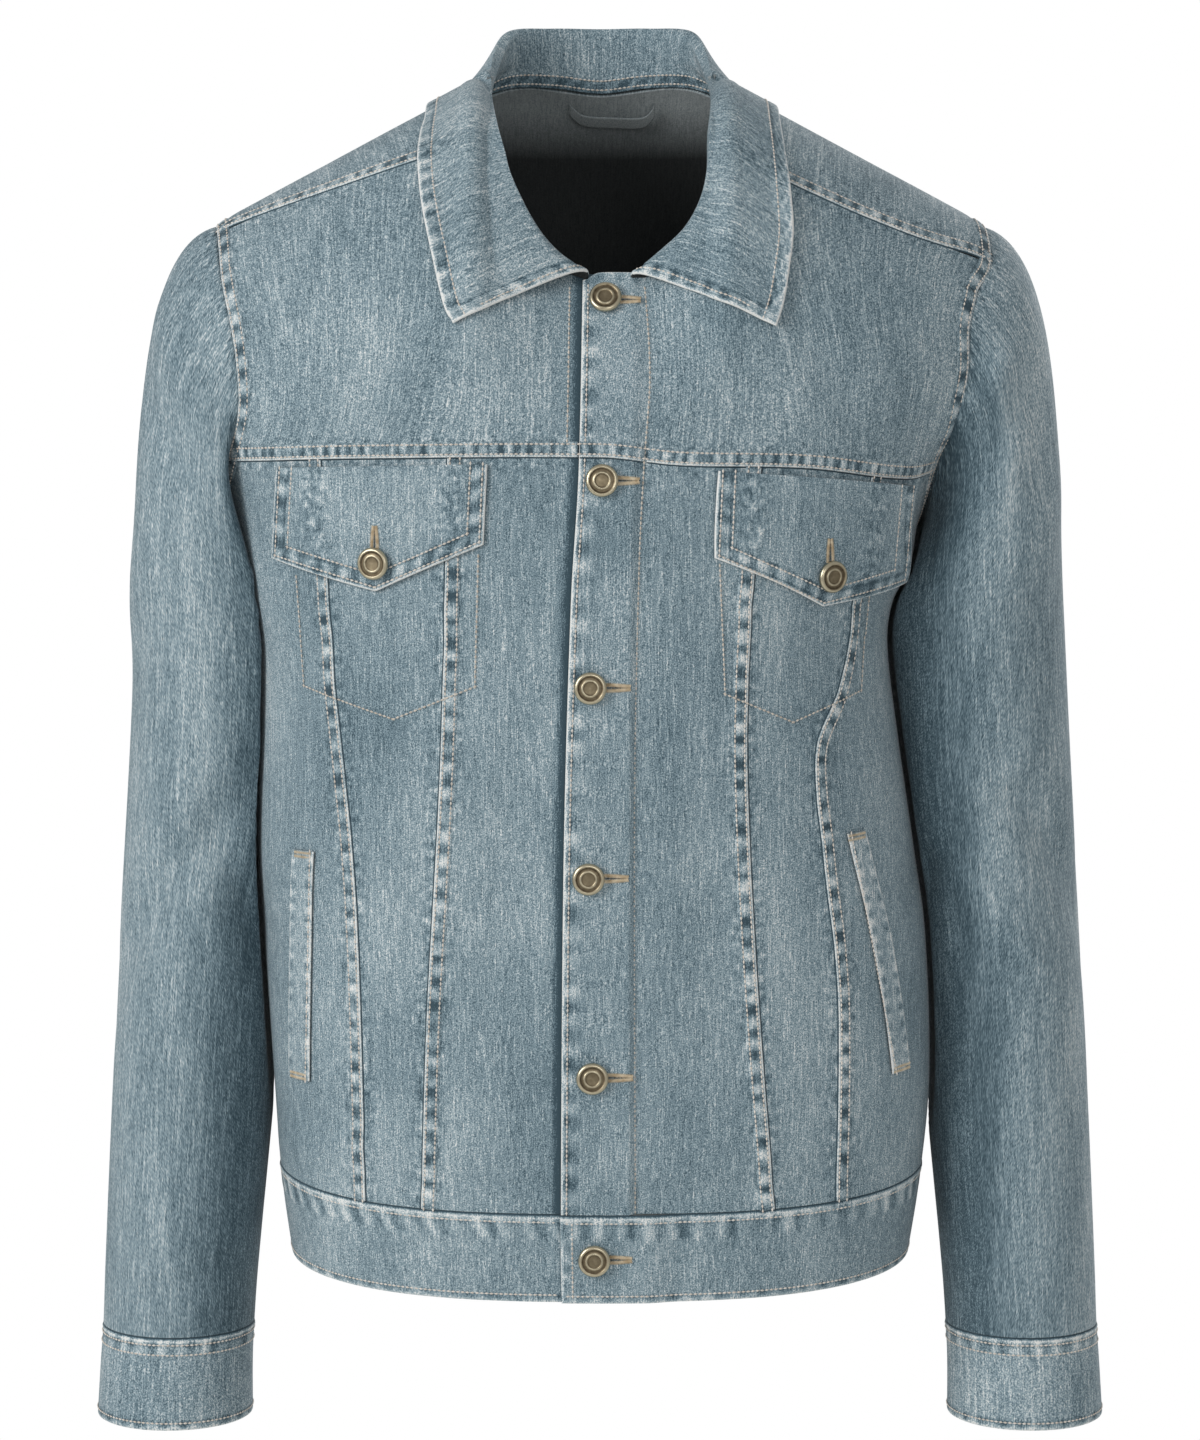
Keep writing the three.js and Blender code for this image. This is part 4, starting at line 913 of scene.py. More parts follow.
def antique_brass():
    """Brass shank button, stamped, darkened and rubbed bright on its rims: brown in the recesses."""
    material, tree, shader = new_material("antique_brass")
    patina = add_node(tree, "ShaderNodeAttribute", {"attribute_name": "patina"}).outputs["Fac"]
    place = add_node(tree, "ShaderNodeTexCoord").outputs["Object"]
    stain = add_node(tree, "ShaderNodeTexNoise", None, Vector=place, Scale=450.0, Detail=3.0).outputs["Fac"]
    share = add_up(tree, -0.25, (patina, 1.0), (stain, 0.5))
    stops = [(0.1, linear("#c6bca2")), (0.5, linear("#897d66")), (0.95, linear("#4a4033"))]
    colour = add_node(tree, "ShaderNodeValToRGB", {"stops": stops}, Fac=share).outputs["Color"]
    tree.links.new(colour, shader.inputs["Base Color"])
    shader.inputs["Metallic"].default_value = 1.0
    tree.links.new(add_up(tree, 0.3, (share, 0.25)), shader.inputs["Roughness"])
    return material


def paint(name, code):
    """A matt paint of one colour."""
    material, _, shader = new_material(name)
    shader.inputs["Base Color"].default_value = linear(code)
    shader.inputs["Roughness"].default_value = 0.9
    return material


MATERIALS = {
    "denim": denim(),
    "beige thread": thread("beige_topstitching_thread", "#e8e1d8", "#cac0b4"),
    "grey thread": thread("grey_topstitching_thread", "#ddd4c8", "#b9afa2"),
    "tan thread": thread("tan_buttonhole_thread", "#d9ccb4", "#b19d7d"),
    # The dark thread is painted shadow in the slits of the buttonholes
    "dark thread": thread("shadow_in_buttonhole", "#2b3033", "#1b1f21"),
    "brass": antique_brass(),
}


# Sewing

SEWN = {}
SEAM_PLACES = []
STRIP = {"width": 8.4, "high": 0.8, "step": 1.7, "below": 0.25, "bars": 6.0}
# The pale column is above 0 where the wash faded the cloth and below 0 where it is darker. The dark line just
# past the fold is painted shadow of the fold with unfaded indigo, and the dark lines at 0.17 and 0.8 are
# painted shade in the grooves of the rows of stitches.
STRIP_PROFILE = table(
    "out high lump pale",
    (-0.09, -1, 0, -3),
    (-0.09, 0.08, 0, -3),
    (-0.01, 0.1, 0, -3),
    (0, 0.5, 0.1, 0.9),
    (0.04, 1.0, 0.2, 1.3),
    (0.1, 1.0, 0.3, 0.9),
    (0.17, 0.7, 0.5, -0.7),
    (0.23, 0.85, 0.9, -0.1),
    (0.32, 1.05, 1, 0),
    (0.48, 1.15, 1, 0),
    (0.64, 1.0, 1, 0),
    (0.73, 0.8, 0.9, 0),
    (0.8, 0.5, 0.5, -0.8),
    (0.86, 0.45, 0.5, 0.2),
    (0.92, 0.3, 0.3, 0),
    (1.0, -1, 0, 0),
)
ROWS = (1.5, 6.7)
STITCH = {"pitch": 2.6, "long": 2.55, "wide": 1.2, "high": 1.0, "raised": 0.2}


def on_cloth(surface, u, v, height=0.0):
    """Points at a height above the outer face of the cloth, creases included, and the normals there."""
    p, n = points_of(surface, u, v)
    return p + n * (folds_at(p, n) + height)[..., None], n


def straight_line(start, end):
    """Places on the straight line between two."""
    return mix(np.array(start, float), np.array(end, float), np.linspace(0, 1, 6)[:, None])


def spaced(surface, line, step):
    """A smooth line of parameters on a surface, cut evenly by its real length; also the distances."""
    fine = through(line, np.linspace(0, 1, 40 * len(line)))
    walked = np.linalg.norm(np.diff(surface(fine[:, 0], fine[:, 1]), axis=0), axis=-1)
    walked = np.concatenate([[0], np.cumsum(walked)])
    at = np.linspace(0, walked[-1], max(2, int(round(walked[-1] / step))) + 1)
    return np.stack([np.interp(at, walked, fine[:, k]) for k in (0, 1)], -1), at


def beside(surface, line, away):
    """Parameters of points at distances to the left of a line, seen from outside.

    The step in the parameters solves slope_u du + slope_v dv = left * away, by the surface's own measure.
    """
    u, v = line[:, 0], line[:, 1]
    step = 1e-3
    slope_u = (surface(u + step, v) - surface(u - step, v)) / (2 * step)
    slope_v = (surface(u, v + step) - surface(u, v - step)) / (2 * step)
    forward = unit(np.gradient(surface(u, v), axis=0))
    left = unit(np.cross(unit(np.cross(slope_u, slope_v)), forward))
    e, f, g = dot(slope_u, slope_u), dot(slope_u, slope_v), dot(slope_v, slope_v)
    a, b = dot(left, slope_u), dot(left, slope_v)
    du, dv = (g * a - f * b) / (e * g - f * f), (e * b - f * a) / (e * g - f * f)
    away = np.broadcast_to(away, (len(u), np.shape(away)[-1]) if np.ndim(away) else (len(u), 1))
    return u[:, None] + du[:, None] * away, v[:, None] + dv[:, None] * away


def sew(panel, kind, points, faces, **values):
    """Keeps a piece of sewing until its panel's mesh is made."""
    SEWN.setdefault((panel, kind), []).append((points.reshape(-1, 3), faces, values))


def felled(panel, surface, line, seed, bars=STRIP["bars"], lift=None):
    """A lapped seam on a panel: a low tube of cloth to the left of the line, with its fold on the line.

    Its height is the profile's, plus lumps along it, which shrinking drew up between the rows of stitches.
    """
    width, high = STRIP["width"], STRIP["high"]
    path, at = spaced(surface, line, STRIP["step"])
    out, rise, lump, pale = (STRIP_PROFILE[k] for k in ("out", "high", "lump", "pale"))
    u, v = beside(surface, path, out * width)
    bar = lumps(at, bars, seed)[:, None] * lump
    height = np.where(rise < 0, -STRIP["below"], rise * high + 0.22 * bar)
    raised = lift or (lambda u, v: 0.0)
    p, _ = on_cloth(surface, u, v, height + raised(u, v))
    count, round_ = p.shape[:2]
    i, j = np.meshgrid(np.arange(count - 1), np.arange(round_), indexing="ij")
    a, b = (i * round_ + j).ravel(), (i * round_ + (j + 1) % round_).ravel()
    tube = np.stack([a, a + round_, b + round_, b], -1)
    ring = np.arange(round_)
    ends = np.stack([ring, ring[::-1] + (count - 1) * round_])
    # Wash bars plus the profile's marks, its painted shadow by the fold and painted shade in the rows' grooves
    # included
    wear = bar * np.where(bar > 0, 0.95, 1.5) + 0.9 * pale
    sew(panel, "seams", p, [tube, ends], grain=p.reshape(-1, 3), wear=wear.ravel(),
        seam=np.full(wear.size, 0.5), inside=np.zeros(wear.size))
    SEAM_PLACES.append(p[::4, round_ // 2])
    for away in ROWS:
        share = np.interp(away / width, out[1:-1], rise[1:-1])
        stitched(panel, surface, line, away, lambda u, v, share=share: share * high + raised(u, v))


def stitched(panel, surface, line, away=0.0, height=0.0, thread_kind="beige", straight=False):
    """A row of stitches beside a line: each is a stretched octahedron, half sunk in the cloth."""
    if straight:
        line = straight_line(line[0], line[-1])
    path, _ = spaced(surface, np.asarray(line, float), STITCH["pitch"])
    u, v = (c[:, 0] for c in beside(surface, path, np.array([away])))
    lift = height(u, v) if callable(height) else height
    p, n = on_cloth(surface, u, v, lift + STITCH["raised"])
    along = unit(np.gradient(p, axis=0))
    add_stitches(panel, thread_kind, p, along, n, STITCH["long"], STITCH["wide"], STITCH["high"])


def add_stitches(panel, kind, p, along, n, long, wide, high):
    """Stretched octahedra at points, each along its thread and across the cloth."""
    across_it = np.cross(n, along)
    half = [along * long / 2, across_it * wide / 2, n * high / 2]
    corners = np.stack([p + sign * h for h in half for sign in (1, -1)], 1)
    faces = np.array([(0, 2, 4), (2, 1, 4), (1, 3, 4), (3, 0, 4), (2, 0, 5), (1, 2, 5), (3, 1, 5), (0, 3, 5)])
    each = (faces[None] + 6 * np.arange(len(p))[:, None, None]).reshape(-1, 3)
    sew(panel, f"{kind}_stitches", corners, [each])


def finish_sewing():
    """Makes one mesh for each panel's seams and one for each of its threads."""
    for (panel, kind), parts in SEWN.items():
        first = np.cumsum([0] + [len(points) for points, _, _ in parts])
        faces = [face + start for start, (_, lists, _) in zip(first, parts) for face in lists]
        cloth_kind = kind == "seams"
        points = np.concatenate([places for places, _, _ in parts])
        piece = mesh_object(f"{kind}_{panel}", points, faces, cloth_kind)
        if cloth_kind:
            give_grain(piece, np.concatenate([values["grain"] for _, _, values in parts]))
            for name in ("wear", "seam", "inside"):
                give_value(piece, name, np.concatenate([values[name] for _, _, values in parts]))
        piece.data.materials.append(MATERIALS["denim" if cloth_kind else kind.split("_")[0] + " thread"])
        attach(piece, "root")
        SEWN_PIECES.setdefault(panel, []).append(piece)


SEWN_PIECES = {}


def near_seam(p):
    """How near each point of a grid is to a seam: 1 beside it, and near 0 from 14 mm on."""
    places = np.concatenate(SEAM_PLACES)
    flat = p.reshape(-1, 3)
    box = (places > flat.min(0) - 20).all(-1) & (places < flat.max(0) + 20).all(-1)
    places = places[box]
    if not len(places):
        return np.zeros(p.shape[:2])
    square = (flat**2).sum(-1)[:, None] + (places**2).sum(-1) - 2 * flat @ places.T
    distance = np.sqrt(np.maximum(0, square.min(-1)))
    return bell(np.maximum(0, distance - 4) / 5).reshape(p.shape[:2])


# The pieces of cloth


SLEEVES = {side: sleeve(side) for side in SIDES}
LOWER = 15


def seam_x(rows, side):
    """A seam's x as a function of z."""
    return lambda z: read(rows, z, side)


def down_line(x_at, top_z):
    """A seam of the front from the band to the yoke, as turns and heights."""
    bottom_z = band_seam(turn_at(x_at(BAND["seam"]), BAND["seam"]))
    z = np.linspace(bottom_z, top_z, LOWER)
    return np.stack([turn_at(x_at(z), z), z], -1)


def side_line(side):
    """The side seam, as turns and heights."""
    turn = SIDES[side] * SIDE_SEAM_TURN
    z = np.linspace(band_seam(turn), UNDERARM[side], LOWER)
    return np.stack([np.full(LOWER, turn), z], -1)


def yoke_line(x0, x1, count):
    """The yoke's seam between two places, as x and z."""
    x = np.linspace(x0, x1, count + 1)
    return np.stack([x, read(YOKE_SEAM, x, "z", "x")], -1)


def as_turns(line):
    """A line of x and z as turns and heights."""
    return np.stack([turn_at(line[:, 0], line[:, 1]), line[:, 1]], -1)


def band_line(turn0, turn1, count):
    """The waistband's seam between two turns."""
    turn = np.linspace(turn0, turn1, count)
    return np.stack([turn, band_seam(turn)], -1)


def hole_turns(side):
    """The armhole's stations as turns and heights."""
    sign = SIDES[side]
    fore = [(turn_at(sign * x, z), z) for x, z in ARMHOLE_FRONT[side]]
    low = [(sign * math.radians(turn), z) for turn, z in UNDERARM_FRONT[side]]
    under = [(sign * SIDE_SEAM_TURN, UNDERARM[side])]
    behind = [(sign * math.radians(turn), z) for turn, z in UNDERARM_BACK]
    top = [(turn_at(sign * x, z, True), z) for x, z in ARMHOLE_BACK]
    return np.array([*fore, *low, *under, *behind, *top], float)


def seam_top(rows, side):
    """Where a seam of the front meets the yoke."""
    z = read(YOKE_SEAM, read(rows, YOKE_HEIGHT, side), "z", "x")
    return read(rows, z, side), z


CENTRE_X = {
    "right": lambda z: np.full(np.shape(z), STAND_SEAM, float),
    "left": lambda z: read(PLACKET_SEAM, z, "x"),
}
CELL = 4.0
CORNER_DROP = 4.0
FLAP_ROWS = (2.2, 8.6)


def lower_front(side):
    """Centre, middle and side panels of one lower front, each between two seams."""
    inner_x, inner_z = seam_top(INNER_SEAM, side)
    outer_x, outer_z = seam_top(OUTER_SEAM, side)
    centre_x = float(CENTRE_X[side](YOKE_HEIGHT))
    centre_z = read(YOKE_SEAM, centre_x, "z", "x")
    hole = hole_turns(side)
    corner = SIDES[side] * ARMHOLE_FRONT[side][-1][0]
    lines = [
        down_line(CENTRE_X[side], centre_z),
        down_line(seam_x(INNER_SEAM, side), inner_z),
        down_line(seam_x(OUTER_SEAM, side), outer_z),
        side_line(side),
    ]
    tops = [
        as_turns(yoke_line(centre_x, inner_x, 3)),
        as_turns(yoke_line(inner_x, outer_x, 3)),
        np.concatenate([as_turns(yoke_line(outer_x, corner, 2)), hole[6:9]]),
    ]
    for k, name in enumerate(("centre", "middle", "side")):
        left, right, top = lines[k], lines[k + 1], tops[k]
        bottom = band_line(left[0, 0], right[0, 0], len(top))
        if SIDES[side] < 0:
            left, right, top, bottom = right, left, top[::-1], bottom[::-1]
        p = patch(around, bottom, top, left, right, CELL)
        cloth(f"front_{name}_{side}", p, CLOTH)


def front_yoke(side):
    """The yoke of one front, from its lower seam to the neck and the shoulder."""
    sign = SIDES[side]
    inner_x, _ = seam_top(INNER_SEAM, side)
    outer_x, _ = seam_top(OUTER_SEAM, side)
    corner = ARMHOLE_FRONT[side][-1]
    centre_x = float(CENTRE_X[side](YOKE_HEIGHT))
    bottom = np.concatenate([
        yoke_line(centre_x, inner_x, 3),
        yoke_line(inner_x, outer_x, 3)[1:],
        yoke_line(outer_x, sign * corner[0], 2)[1:],
    ])
    bottom[-1, 1] = corner[1]
    top = np.array([(sign * x, z) for x, z in FRONT_NECK[side][:-1] + SHOULDER_SEAM[side]], float)
    hole = np.array([(sign * x, z) for x, z in ARMHOLE_FRONT[side][::-1]], float)
    z = np.linspace(bottom[0, 1], top[0, 1], len(hole))
    x = read(PLACKET_SEAM, z, "x") if side == "left" else np.full(len(z), -float(FRONT_NECK[side][0][0]))
    left, right = np.stack([x, z], -1), hole
    if sign < 0:
        left, right, top, bottom = right, left, top[::-1], bottom[::-1]
    p = patch(front, bottom, top, left, right, CELL)
    cloth(f"front_yoke_{side}", p, CLOTH, grain=laid(p))


def back_yoke_lines():
    """The back yoke's four borders, as x and tilt."""
    def seam(side):
        x, z = np.array(SHOULDER_SEAM[side], float).T
        return np.stack([SIDES[side] * x, tilt_at(SIDES[side] * x, z)], -1)

    neck = np.array([(x, math.radians(tilt)) for x, tilt in BACK_NECK])
    top = np.concatenate([seam("right")[::-1], neck, seam("left")])

    def edge(side):
        sign = SIDES[side]
        x0, z0 = ARMHOLE_FRONT[side][0]
        tip = (sign * (ARMHOLE_BACK[-1][0] + 2), 0.0)
        fore = (sign * x0, tilt_at(sign * x0, z0))
        low = around(sign * math.radians(UNDERARM_BACK[-1][0]), UNDERARM_BACK[-1][1])
        behind = [(sign * x, tilt_at(sign * x, z, True)) for x, z in ARMHOLE_BACK]
        return np.array([*behind, tip, fore], float)

    right, left = edge("right"), edge("left")
    x = np.linspace(right[0, 0], left[0, 0], len(top))
    drop = mix(ARMHOLE_BACK[0][1], BACK_YOKE_SEAM, np.sin(math.pi * np.linspace(0, 1, len(top))))
    bottom = np.stack([x, tilt_at(x, drop, True)], -1)
    return bottom, top, right, left


def back_yoke():
    """The yoke over the shoulders, from front to back."""
    bottom, top, right, left = back_yoke_lines()
    p = patch(over_shoulder, bottom, top, right, left, CELL)
    # over the shoulder x runs to the wearer's left as the tilt runs back, so the grid is turned to face out
    p = p[:, ::-1]
    cloth("back_yoke", p, CLOTH, grain=laid(p))
    return bottom


def back(bottom_of_yoke):
    """The back in one piece, below its yoke."""
    wrap = lambda turn: np.where(turn < 0, turn + 2 * math.pi, turn)
    seam = over_shoulder(bottom_of_yoke[:, 0], bottom_of_yoke[:, 1])
    turn = np.where(np.abs(seam[:, 0]) < 1e-6, math.pi, wrap(turn_at(seam[:, 0], seam[:, 2], True)))
    across_line = np.stack([turn, seam[:, 2]], -1)[::-1]
    under = STATIONS["underarm"] - 1
    edges = {side: hole_turns(side)[under:-len(ARMHOLE_BACK)] for side in SIDES}
    right = edges["right"] * 1.0
    right[:, 0] = wrap(right[:, 0])
    top = np.concatenate([edges["left"], across_line, right[::-1]])
    left_line, right_line = side_line("left"), side_line("right")
    right_line[:, 0] = wrap(right_line[:, 0])
    bottom = band_line(left_line[0, 0], right_line[0, 0], len(top))
    p = patch(around, bottom, top, left_line, right_line, CELL)
    cloth("back", p, CLOTH)


def placket_edge(z):
    """The placket's free edge."""
    return read(PLACKET_EDGE, z, "x")


def placket_seam(z):
    """The placket's seam."""
    return read(PLACKET_SEAM, z, "x")


def placket_lift(x, z):
    """The placket lies on the stand, and comes down to the front at its seam."""
    return ON_TOP * (1 - smooth((x - STAND_EDGE) / (placket_seam(z) - STAND_EDGE)))


# Painted shadow on the stand beside the placket's edge: how dark, and how far it reaches
STAND_SHADE = {"dark": -1.9, "reach": 4.0}


def closing_strip(name, x0, x1, top_z, rounded):
    """A strip of the front between two lines of x, from the band seam to the neckline."""
    f, t = shares(45, 1.3), shares(490, 1.9)
    z = mix(BAND["seam"], top_z, t)[None]
    x = mix(x0(z), x1(z), f[:, None])
    on_stand = name.startswith("placket")
    z = z - (CORNER_DROP * bell(f / 0.16)[:, None] * smooth((t - 0.9) / 0.1) if on_stand else 0 * x)
    p, _ = points_of(front, x, z, placket_lift(x, z) if on_stand else 0 * x)
    left = from_border(p)[0]
    if on_stand:
        bars = lumps(lengths_along(p, 1).ravel(), 8.0, 61).reshape(left.shape)
        share = smooth((left - 0.8) / 0.8) * (1 - smooth((left - 3) / 10))
        top = edge_bars(p, "t", 1.0, 6, 5.0, 67)
        wear = 0.9 * bars * share + 0.5 * bell(left / 1.6) + 0.7 * top
        relief = 0.25 * bars * share * (left > 1) - 0.35 * bell((left - 3) / 0.8)
        # Painted shade in the groove of the row of stitches by the edge
        wear = wear - 0.8 * bell((left - 3) / 0.6)
    else:
        # Painted shadow of the placket: the stand's colour is darkened beside the placket's edge
        beyond = np.maximum(0, placket_edge(z) - x)
        wear, relief = STAND_SHADE["dark"] * bell(beyond / STAND_SHADE["reach"]), 0.0
    cloth(name, p, DOUBLED, rounded, relief, wear)


def waistband():
    """The waistband all round, its ends lapped."""
    start = float(turn_at(PLACKET_EDGE["x"][0], BAND["seam"]))
    end = 2 * math.pi + float(turn_at(STAND_EDGE, BAND["seam"]))
    lap = [float(turn_at(BAND[key], BAND["seam"])) for key in ("lap_from", "lap_to")]
    f, t = shares(1150, 2.2), shares(48, 1.7)
    turn, t = mix(start, end, f)[:, None], t[None]
    z = mix(band_bottom(turn), band_seam(turn) - 0.3, t)
    lift = ON_TOP * (1 - smooth((turn - lap[0]) / (lap[1] - lap[0])))
    turn = np.broadcast_to(turn, z.shape)
    p, _ = points_of(around, turn, z, np.broadcast_to(lift, z.shape))
    _, _, low, high = from_border(p)
    upper = edge_bars(p, "t", 2, 13, 6.5, 71)
    lower = edge_bars(p, "b", 1, 4, 6.0, 73)
    ends = edge_bars(p, "lr", 1, 4, 5.0, 79)
    roll = bell((high - 2.2) / 1.3)
    grooves = bell((high - 4.4) / 0.7) + bell((low - 4) / 0.7)
    relief = 0.55 * roll + 0.3 * upper + 0.15 * lower - 0.3 * grooves
    rows = bell((high - 4.5) / 0.6) + bell((low - 4) / 0.6)
    # The roll and bars are paler from the wash; the dark line at the top edge is painted shadow, and the dark
    # rows are painted shade in the grooves of the stitches.
    wear = 1.0 * roll - 2.2 * bell(high / 0.8) + 0.8 * upper + 0.7 * lower + 0.6 * ends - 0.7 * rows
    cloth("waistband", p, DOUBLED, "lrb", relief, wear)


# Painted shade on the sleeves' inner sides: where it starts, and how dark on each side
SLEEVE_SHADE = {"from": 0.25, "right": -0.75, "left": -0.85}


def sleeves(side):
    """The upper and under sleeve, darkened on the side towards the body by painted shade."""
    surface, sign = SLEEVES[side], SIDES[side]
    back_seam, front_seam = SLEEVE_SEAMS["back"], STATIONS["count"] + SLEEVE_SEAMS["front"]
    for name, start, end, width in (
        ("upper", back_seam, front_seam, 300),
        ("under", SLEEVE_SEAMS["front"], back_seam, 170),
    ):
        station = np.sort(sign * mix(start, end, shares(width, CELL)))
        v = np.concatenate([np.linspace(0.004, 1, 48)[:-1], 1 + shares(398, CELL)])
        p = surface(station[:, None], v[None])
        # Painted shade: the cloth's colour is darkened where it faces the body
        painted_shade_toward_body = smooth(-sign * normals_of(p)[..., 0] + SLEEVE_SHADE["from"])
        dark = SLEEVE_SHADE[side] * painted_shade_toward_body
        cloth(f"sleeve_{name}_{side}", p, CLOTH, wear=dark, grain=laid(p))


def cuffs(side):
    """One cuff, folded at its lower edge and lapped."""
    f, t = shares(300, 2.2), shares(50, 2.0)
    turn = -CUFF["start"] + (2 * math.pi + CUFF["lap_turn"]) * f
    a = np.sort(-SIDES[side] * turn)[:, None]
    z = mix(CUFF["bottom"], CUFF["top"] - 0.3, t)[None]
    lift = cuff_lift(-SIDES[side] * a) * np.ones(z.shape)
    p, _ = points_of(cuff_ring(side), a, z, lift)
    _, _, low, high = from_border(p)
    upper, lower = edge_bars(p, "t", 1, 9, 6.0, 83), edge_bars(p, "b", 1, 4, 6.0, 89)
    roll = bell((high - 2.0) / 1.2)
    relief = 0.5 * roll + 0.25 * upper + 0.15 * lower - 0.3 * bell((high - 4.2) / 0.7)
    rows = bell((high - 3.9) / 0.6) + bell((high - 9.2) / 0.6) + bell((low - 4) / 0.6)
    # The roll and bars are paler from the wash; the dark line at the top edge is painted shadow, and the dark
    # rows are painted shade in the grooves of the stitches.
    wear = 1.0 * roll - 2.2 * bell(high / 0.8) + 0.75 * upper + 0.7 * lower - 0.7 * rows
    cloth(f"cuff_{side}", p, DOUBLED, "lrb", relief, wear, grain=laid(p))


def collar_piece():
    """The collar, from the neckline over its roll to its edge."""
    s, t = shares(640, 1.7), shares(125, 1.7)
    p = collar(s[:, None], t[None])
    left, right, low, high = from_border(p)
    edge = np.minimum(np.minimum(left, right), high)
    bars = edge_bars(p, "lrt", 1, COLLAR_ROW, 5.0, 97)
    tape = smooth((NECK_TAPE - low) / 1.2 + 0.5)
    tape_bars = edge_bars(p, "b", 0, NECK_TAPE, 6.0, 101) * tape
    relief = 0.3 * bars - 0.3 * bell((edge - COLLAR_ROW) / 0.8) + 0.2 * tape_bars + 0.5 * tape
    row = bell((edge - COLLAR_ROW) / 0.7)
    # The dark row is painted shade in the groove of the stitches; the bars and the pale edge are the wash's
    # marks, and the neck tape is drawn darker.
    wear = 0.8 * bars + 0.8 * bell(edge / 1.2) + 0.7 * tape_bars - 0.7 * tape - 0.8 * row
    cloth("collar", p, COLLAR_WALL, "lrt", relief, wear, grain=laid(p))


def flap_away(outline, stand_off, x):
    """How far a flap stands off at x: nothing at one side, rising evenly to the other."""
    x0, x1 = outline["top"][0][0], outline["top"][-1][0]
    share = np.clip((x - x0) / (x1 - x0), 0, 1)
    return abs(stand_off) * (1 - share if stand_off < 0 else share)


def front_patch(name, outline, lift, thickness, stand_off=0, cell=1.4):
    """A closed outline on the front: a top line and a lower line through its point."""
    top, bottom = (as_turns(np.array(outline[key], float)) for key in ("top", "bottom"))
    left, right = np.array([bottom[0], top[0]]), np.array([bottom[-1], top[-1]])
    size = front(*np.array(outline["top"]).T)
    width = np.linalg.norm(size[-1] - size[0])
    height = abs(top[0, 1] - bottom[0, 1])
    f, t = shares(width, cell), shares(height, cell)

    def straight(line, at):
        places = np.linspace(0, 1, len(line))
        return np.stack([np.interp(at, places, line[:, k]) for k in (0, 1)], -1)

    low, high = straight(bottom, f)[:, None], straight(top, f)[:, None]
    grid = mix(low, high, t[None, :, None])
    flat = around(grid[..., 0], grid[..., 1])
    p, _ = points_of(around, grid[..., 0], grid[..., 1], lift + flap_away(outline, stand_off, flat[..., 0]))
    if name.startswith("pocket_flap"):
        bars = edge_bars(p, "lrb", 1.2, FLAP_ROWS[1], 5.5, 103)
        edge = np.min(from_border(p)[:3], axis=0)
        rows = sum(bell((edge - row) / 0.8) for row in FLAP_ROWS)
        # The rows are darkened: painted shade in the grooves of the stitches. The bars and the pale edge are
        # the wash's marks.
        cloth(name, p, thickness, "lrb", 0.35 * bars - 0.3 * rows,
              0.85 * bars - 0.8 * rows + 0.9 * bell(edge / 1.0))
    else:
        bars = edge_bars(p, "lr", 0.5, 4, 4.5, 107)
        cloth(name, p, thickness, "lrb", 0.2 * bars, 0.7 * bars + 0.2)


def front_seams(side):
    """Lapped seams of a front: the yoke's lies above it, the inner one towards the placket, the outer away."""
    sign = SIDES[side]
    centre_x = float(CENTRE_X[side](YOKE_HEIGHT))
    yoke = yoke_line(centre_x, sign * ARMHOLE_FRONT[side][-1][0], 12)
    felled(f"front_yoke_{side}", front, yoke[::sign], 11 + sign, bars=3.4)
    for rows, panel, turned in ((INNER_SEAM, "centre", 1), (OUTER_SEAM, "side", -1)):
        x, z = seam_top(rows, side)
        line = down_line(seam_x(rows, side), z - 0.5)
        felled(f"front_{panel}_{side}", around, line[::sign * turned], 17 + sign + turned)
    seam = np.array([(sign * x, tilt_at(sign * x, z)) for x, z in SHOULDER_SEAM[side]])
    felled("back_yoke", over_shoulder, seam[::sign], 23 + sign, bars=4.5)


def armhole_seams(side):
    """The armhole's lapped seam lies on the body, in two lengths: over the shoulder, and under the arm."""
    sign = SIDES[side]
    low = hole_turns(side)
    low[:, 0] = np.where((low[:, 0] * sign < 0), low[:, 0] + sign * 2 * math.pi, low[:, 0])
    felled("back", around, low[1:-2][::-sign], 31 + sign)
    fore = [(sign * x, tilt_at(sign * x, z)) for x, z in ARMHOLE_FRONT[side][:2]]
    behind = [(sign * x, tilt_at(sign * x, z, True)) for x, z in ARMHOLE_BACK[1:]]
    tip = (sign * (ARMHOLE_BACK[-1][0] + 2), 0.0)
    over = np.array([*behind, tip, *fore], float)
    felled("back_yoke", over_shoulder, over[::-sign], 37 + sign)


def back_seams():
    """Lapped seams of the back yoke, the sides and the sleeves' backs."""
    bottom = back_yoke_lines()[0]
    felled("back_yoke", over_shoulder, bottom[::-1], 41, bars=3.4)
    for side, sign in SIDES.items():
        felled("back", around, side_line(side)[::sign], 43 + sign)
        station = np.full(20, float(sign * SLEEVE_SEAMS["back"]))
        line = np.stack([station, np.linspace(0.03, 1.995, 20)], -1)
        felled(f"sleeve_upper_{side}", SLEEVES[side], line[::-sign], 47 + sign)


for side in SIDES:
    front_seams(side)
    armhole_seams(side)
back_seams()
for side in SIDES:
    lower_front(side)
    front_yoke(side)
    sleeves(side)
    cuffs(side)
    front_patch(f"pocket_flap_{side}", FLAPS[side], ON_TOP, DOUBLED, FLAP_STAND_OFF[side])
    front_patch(f"pocket_welt_{side}", WELTS[side], LAID_ON + CLOTH, CLOTH)
back(back_yoke())
felled("button_stand_right", front, yoke_line(STAND_SEAM, STAND_SEAM + 14, 4), 41, bars=3.4)
felled("placket_left", front, yoke_line(-10.5, 22.5, 8), 43, bars=3.4, lift=placket_lift)
closing_strip("button_stand_right", lambda z: STAND_SEAM + 0 * z, lambda z: STAND_EDGE + 0 * z, NECK_TOP, "r")
closing_strip("placket_left", placket_edge, placket_seam, NECK_TOP, "lt")
waistband()
collar_piece()


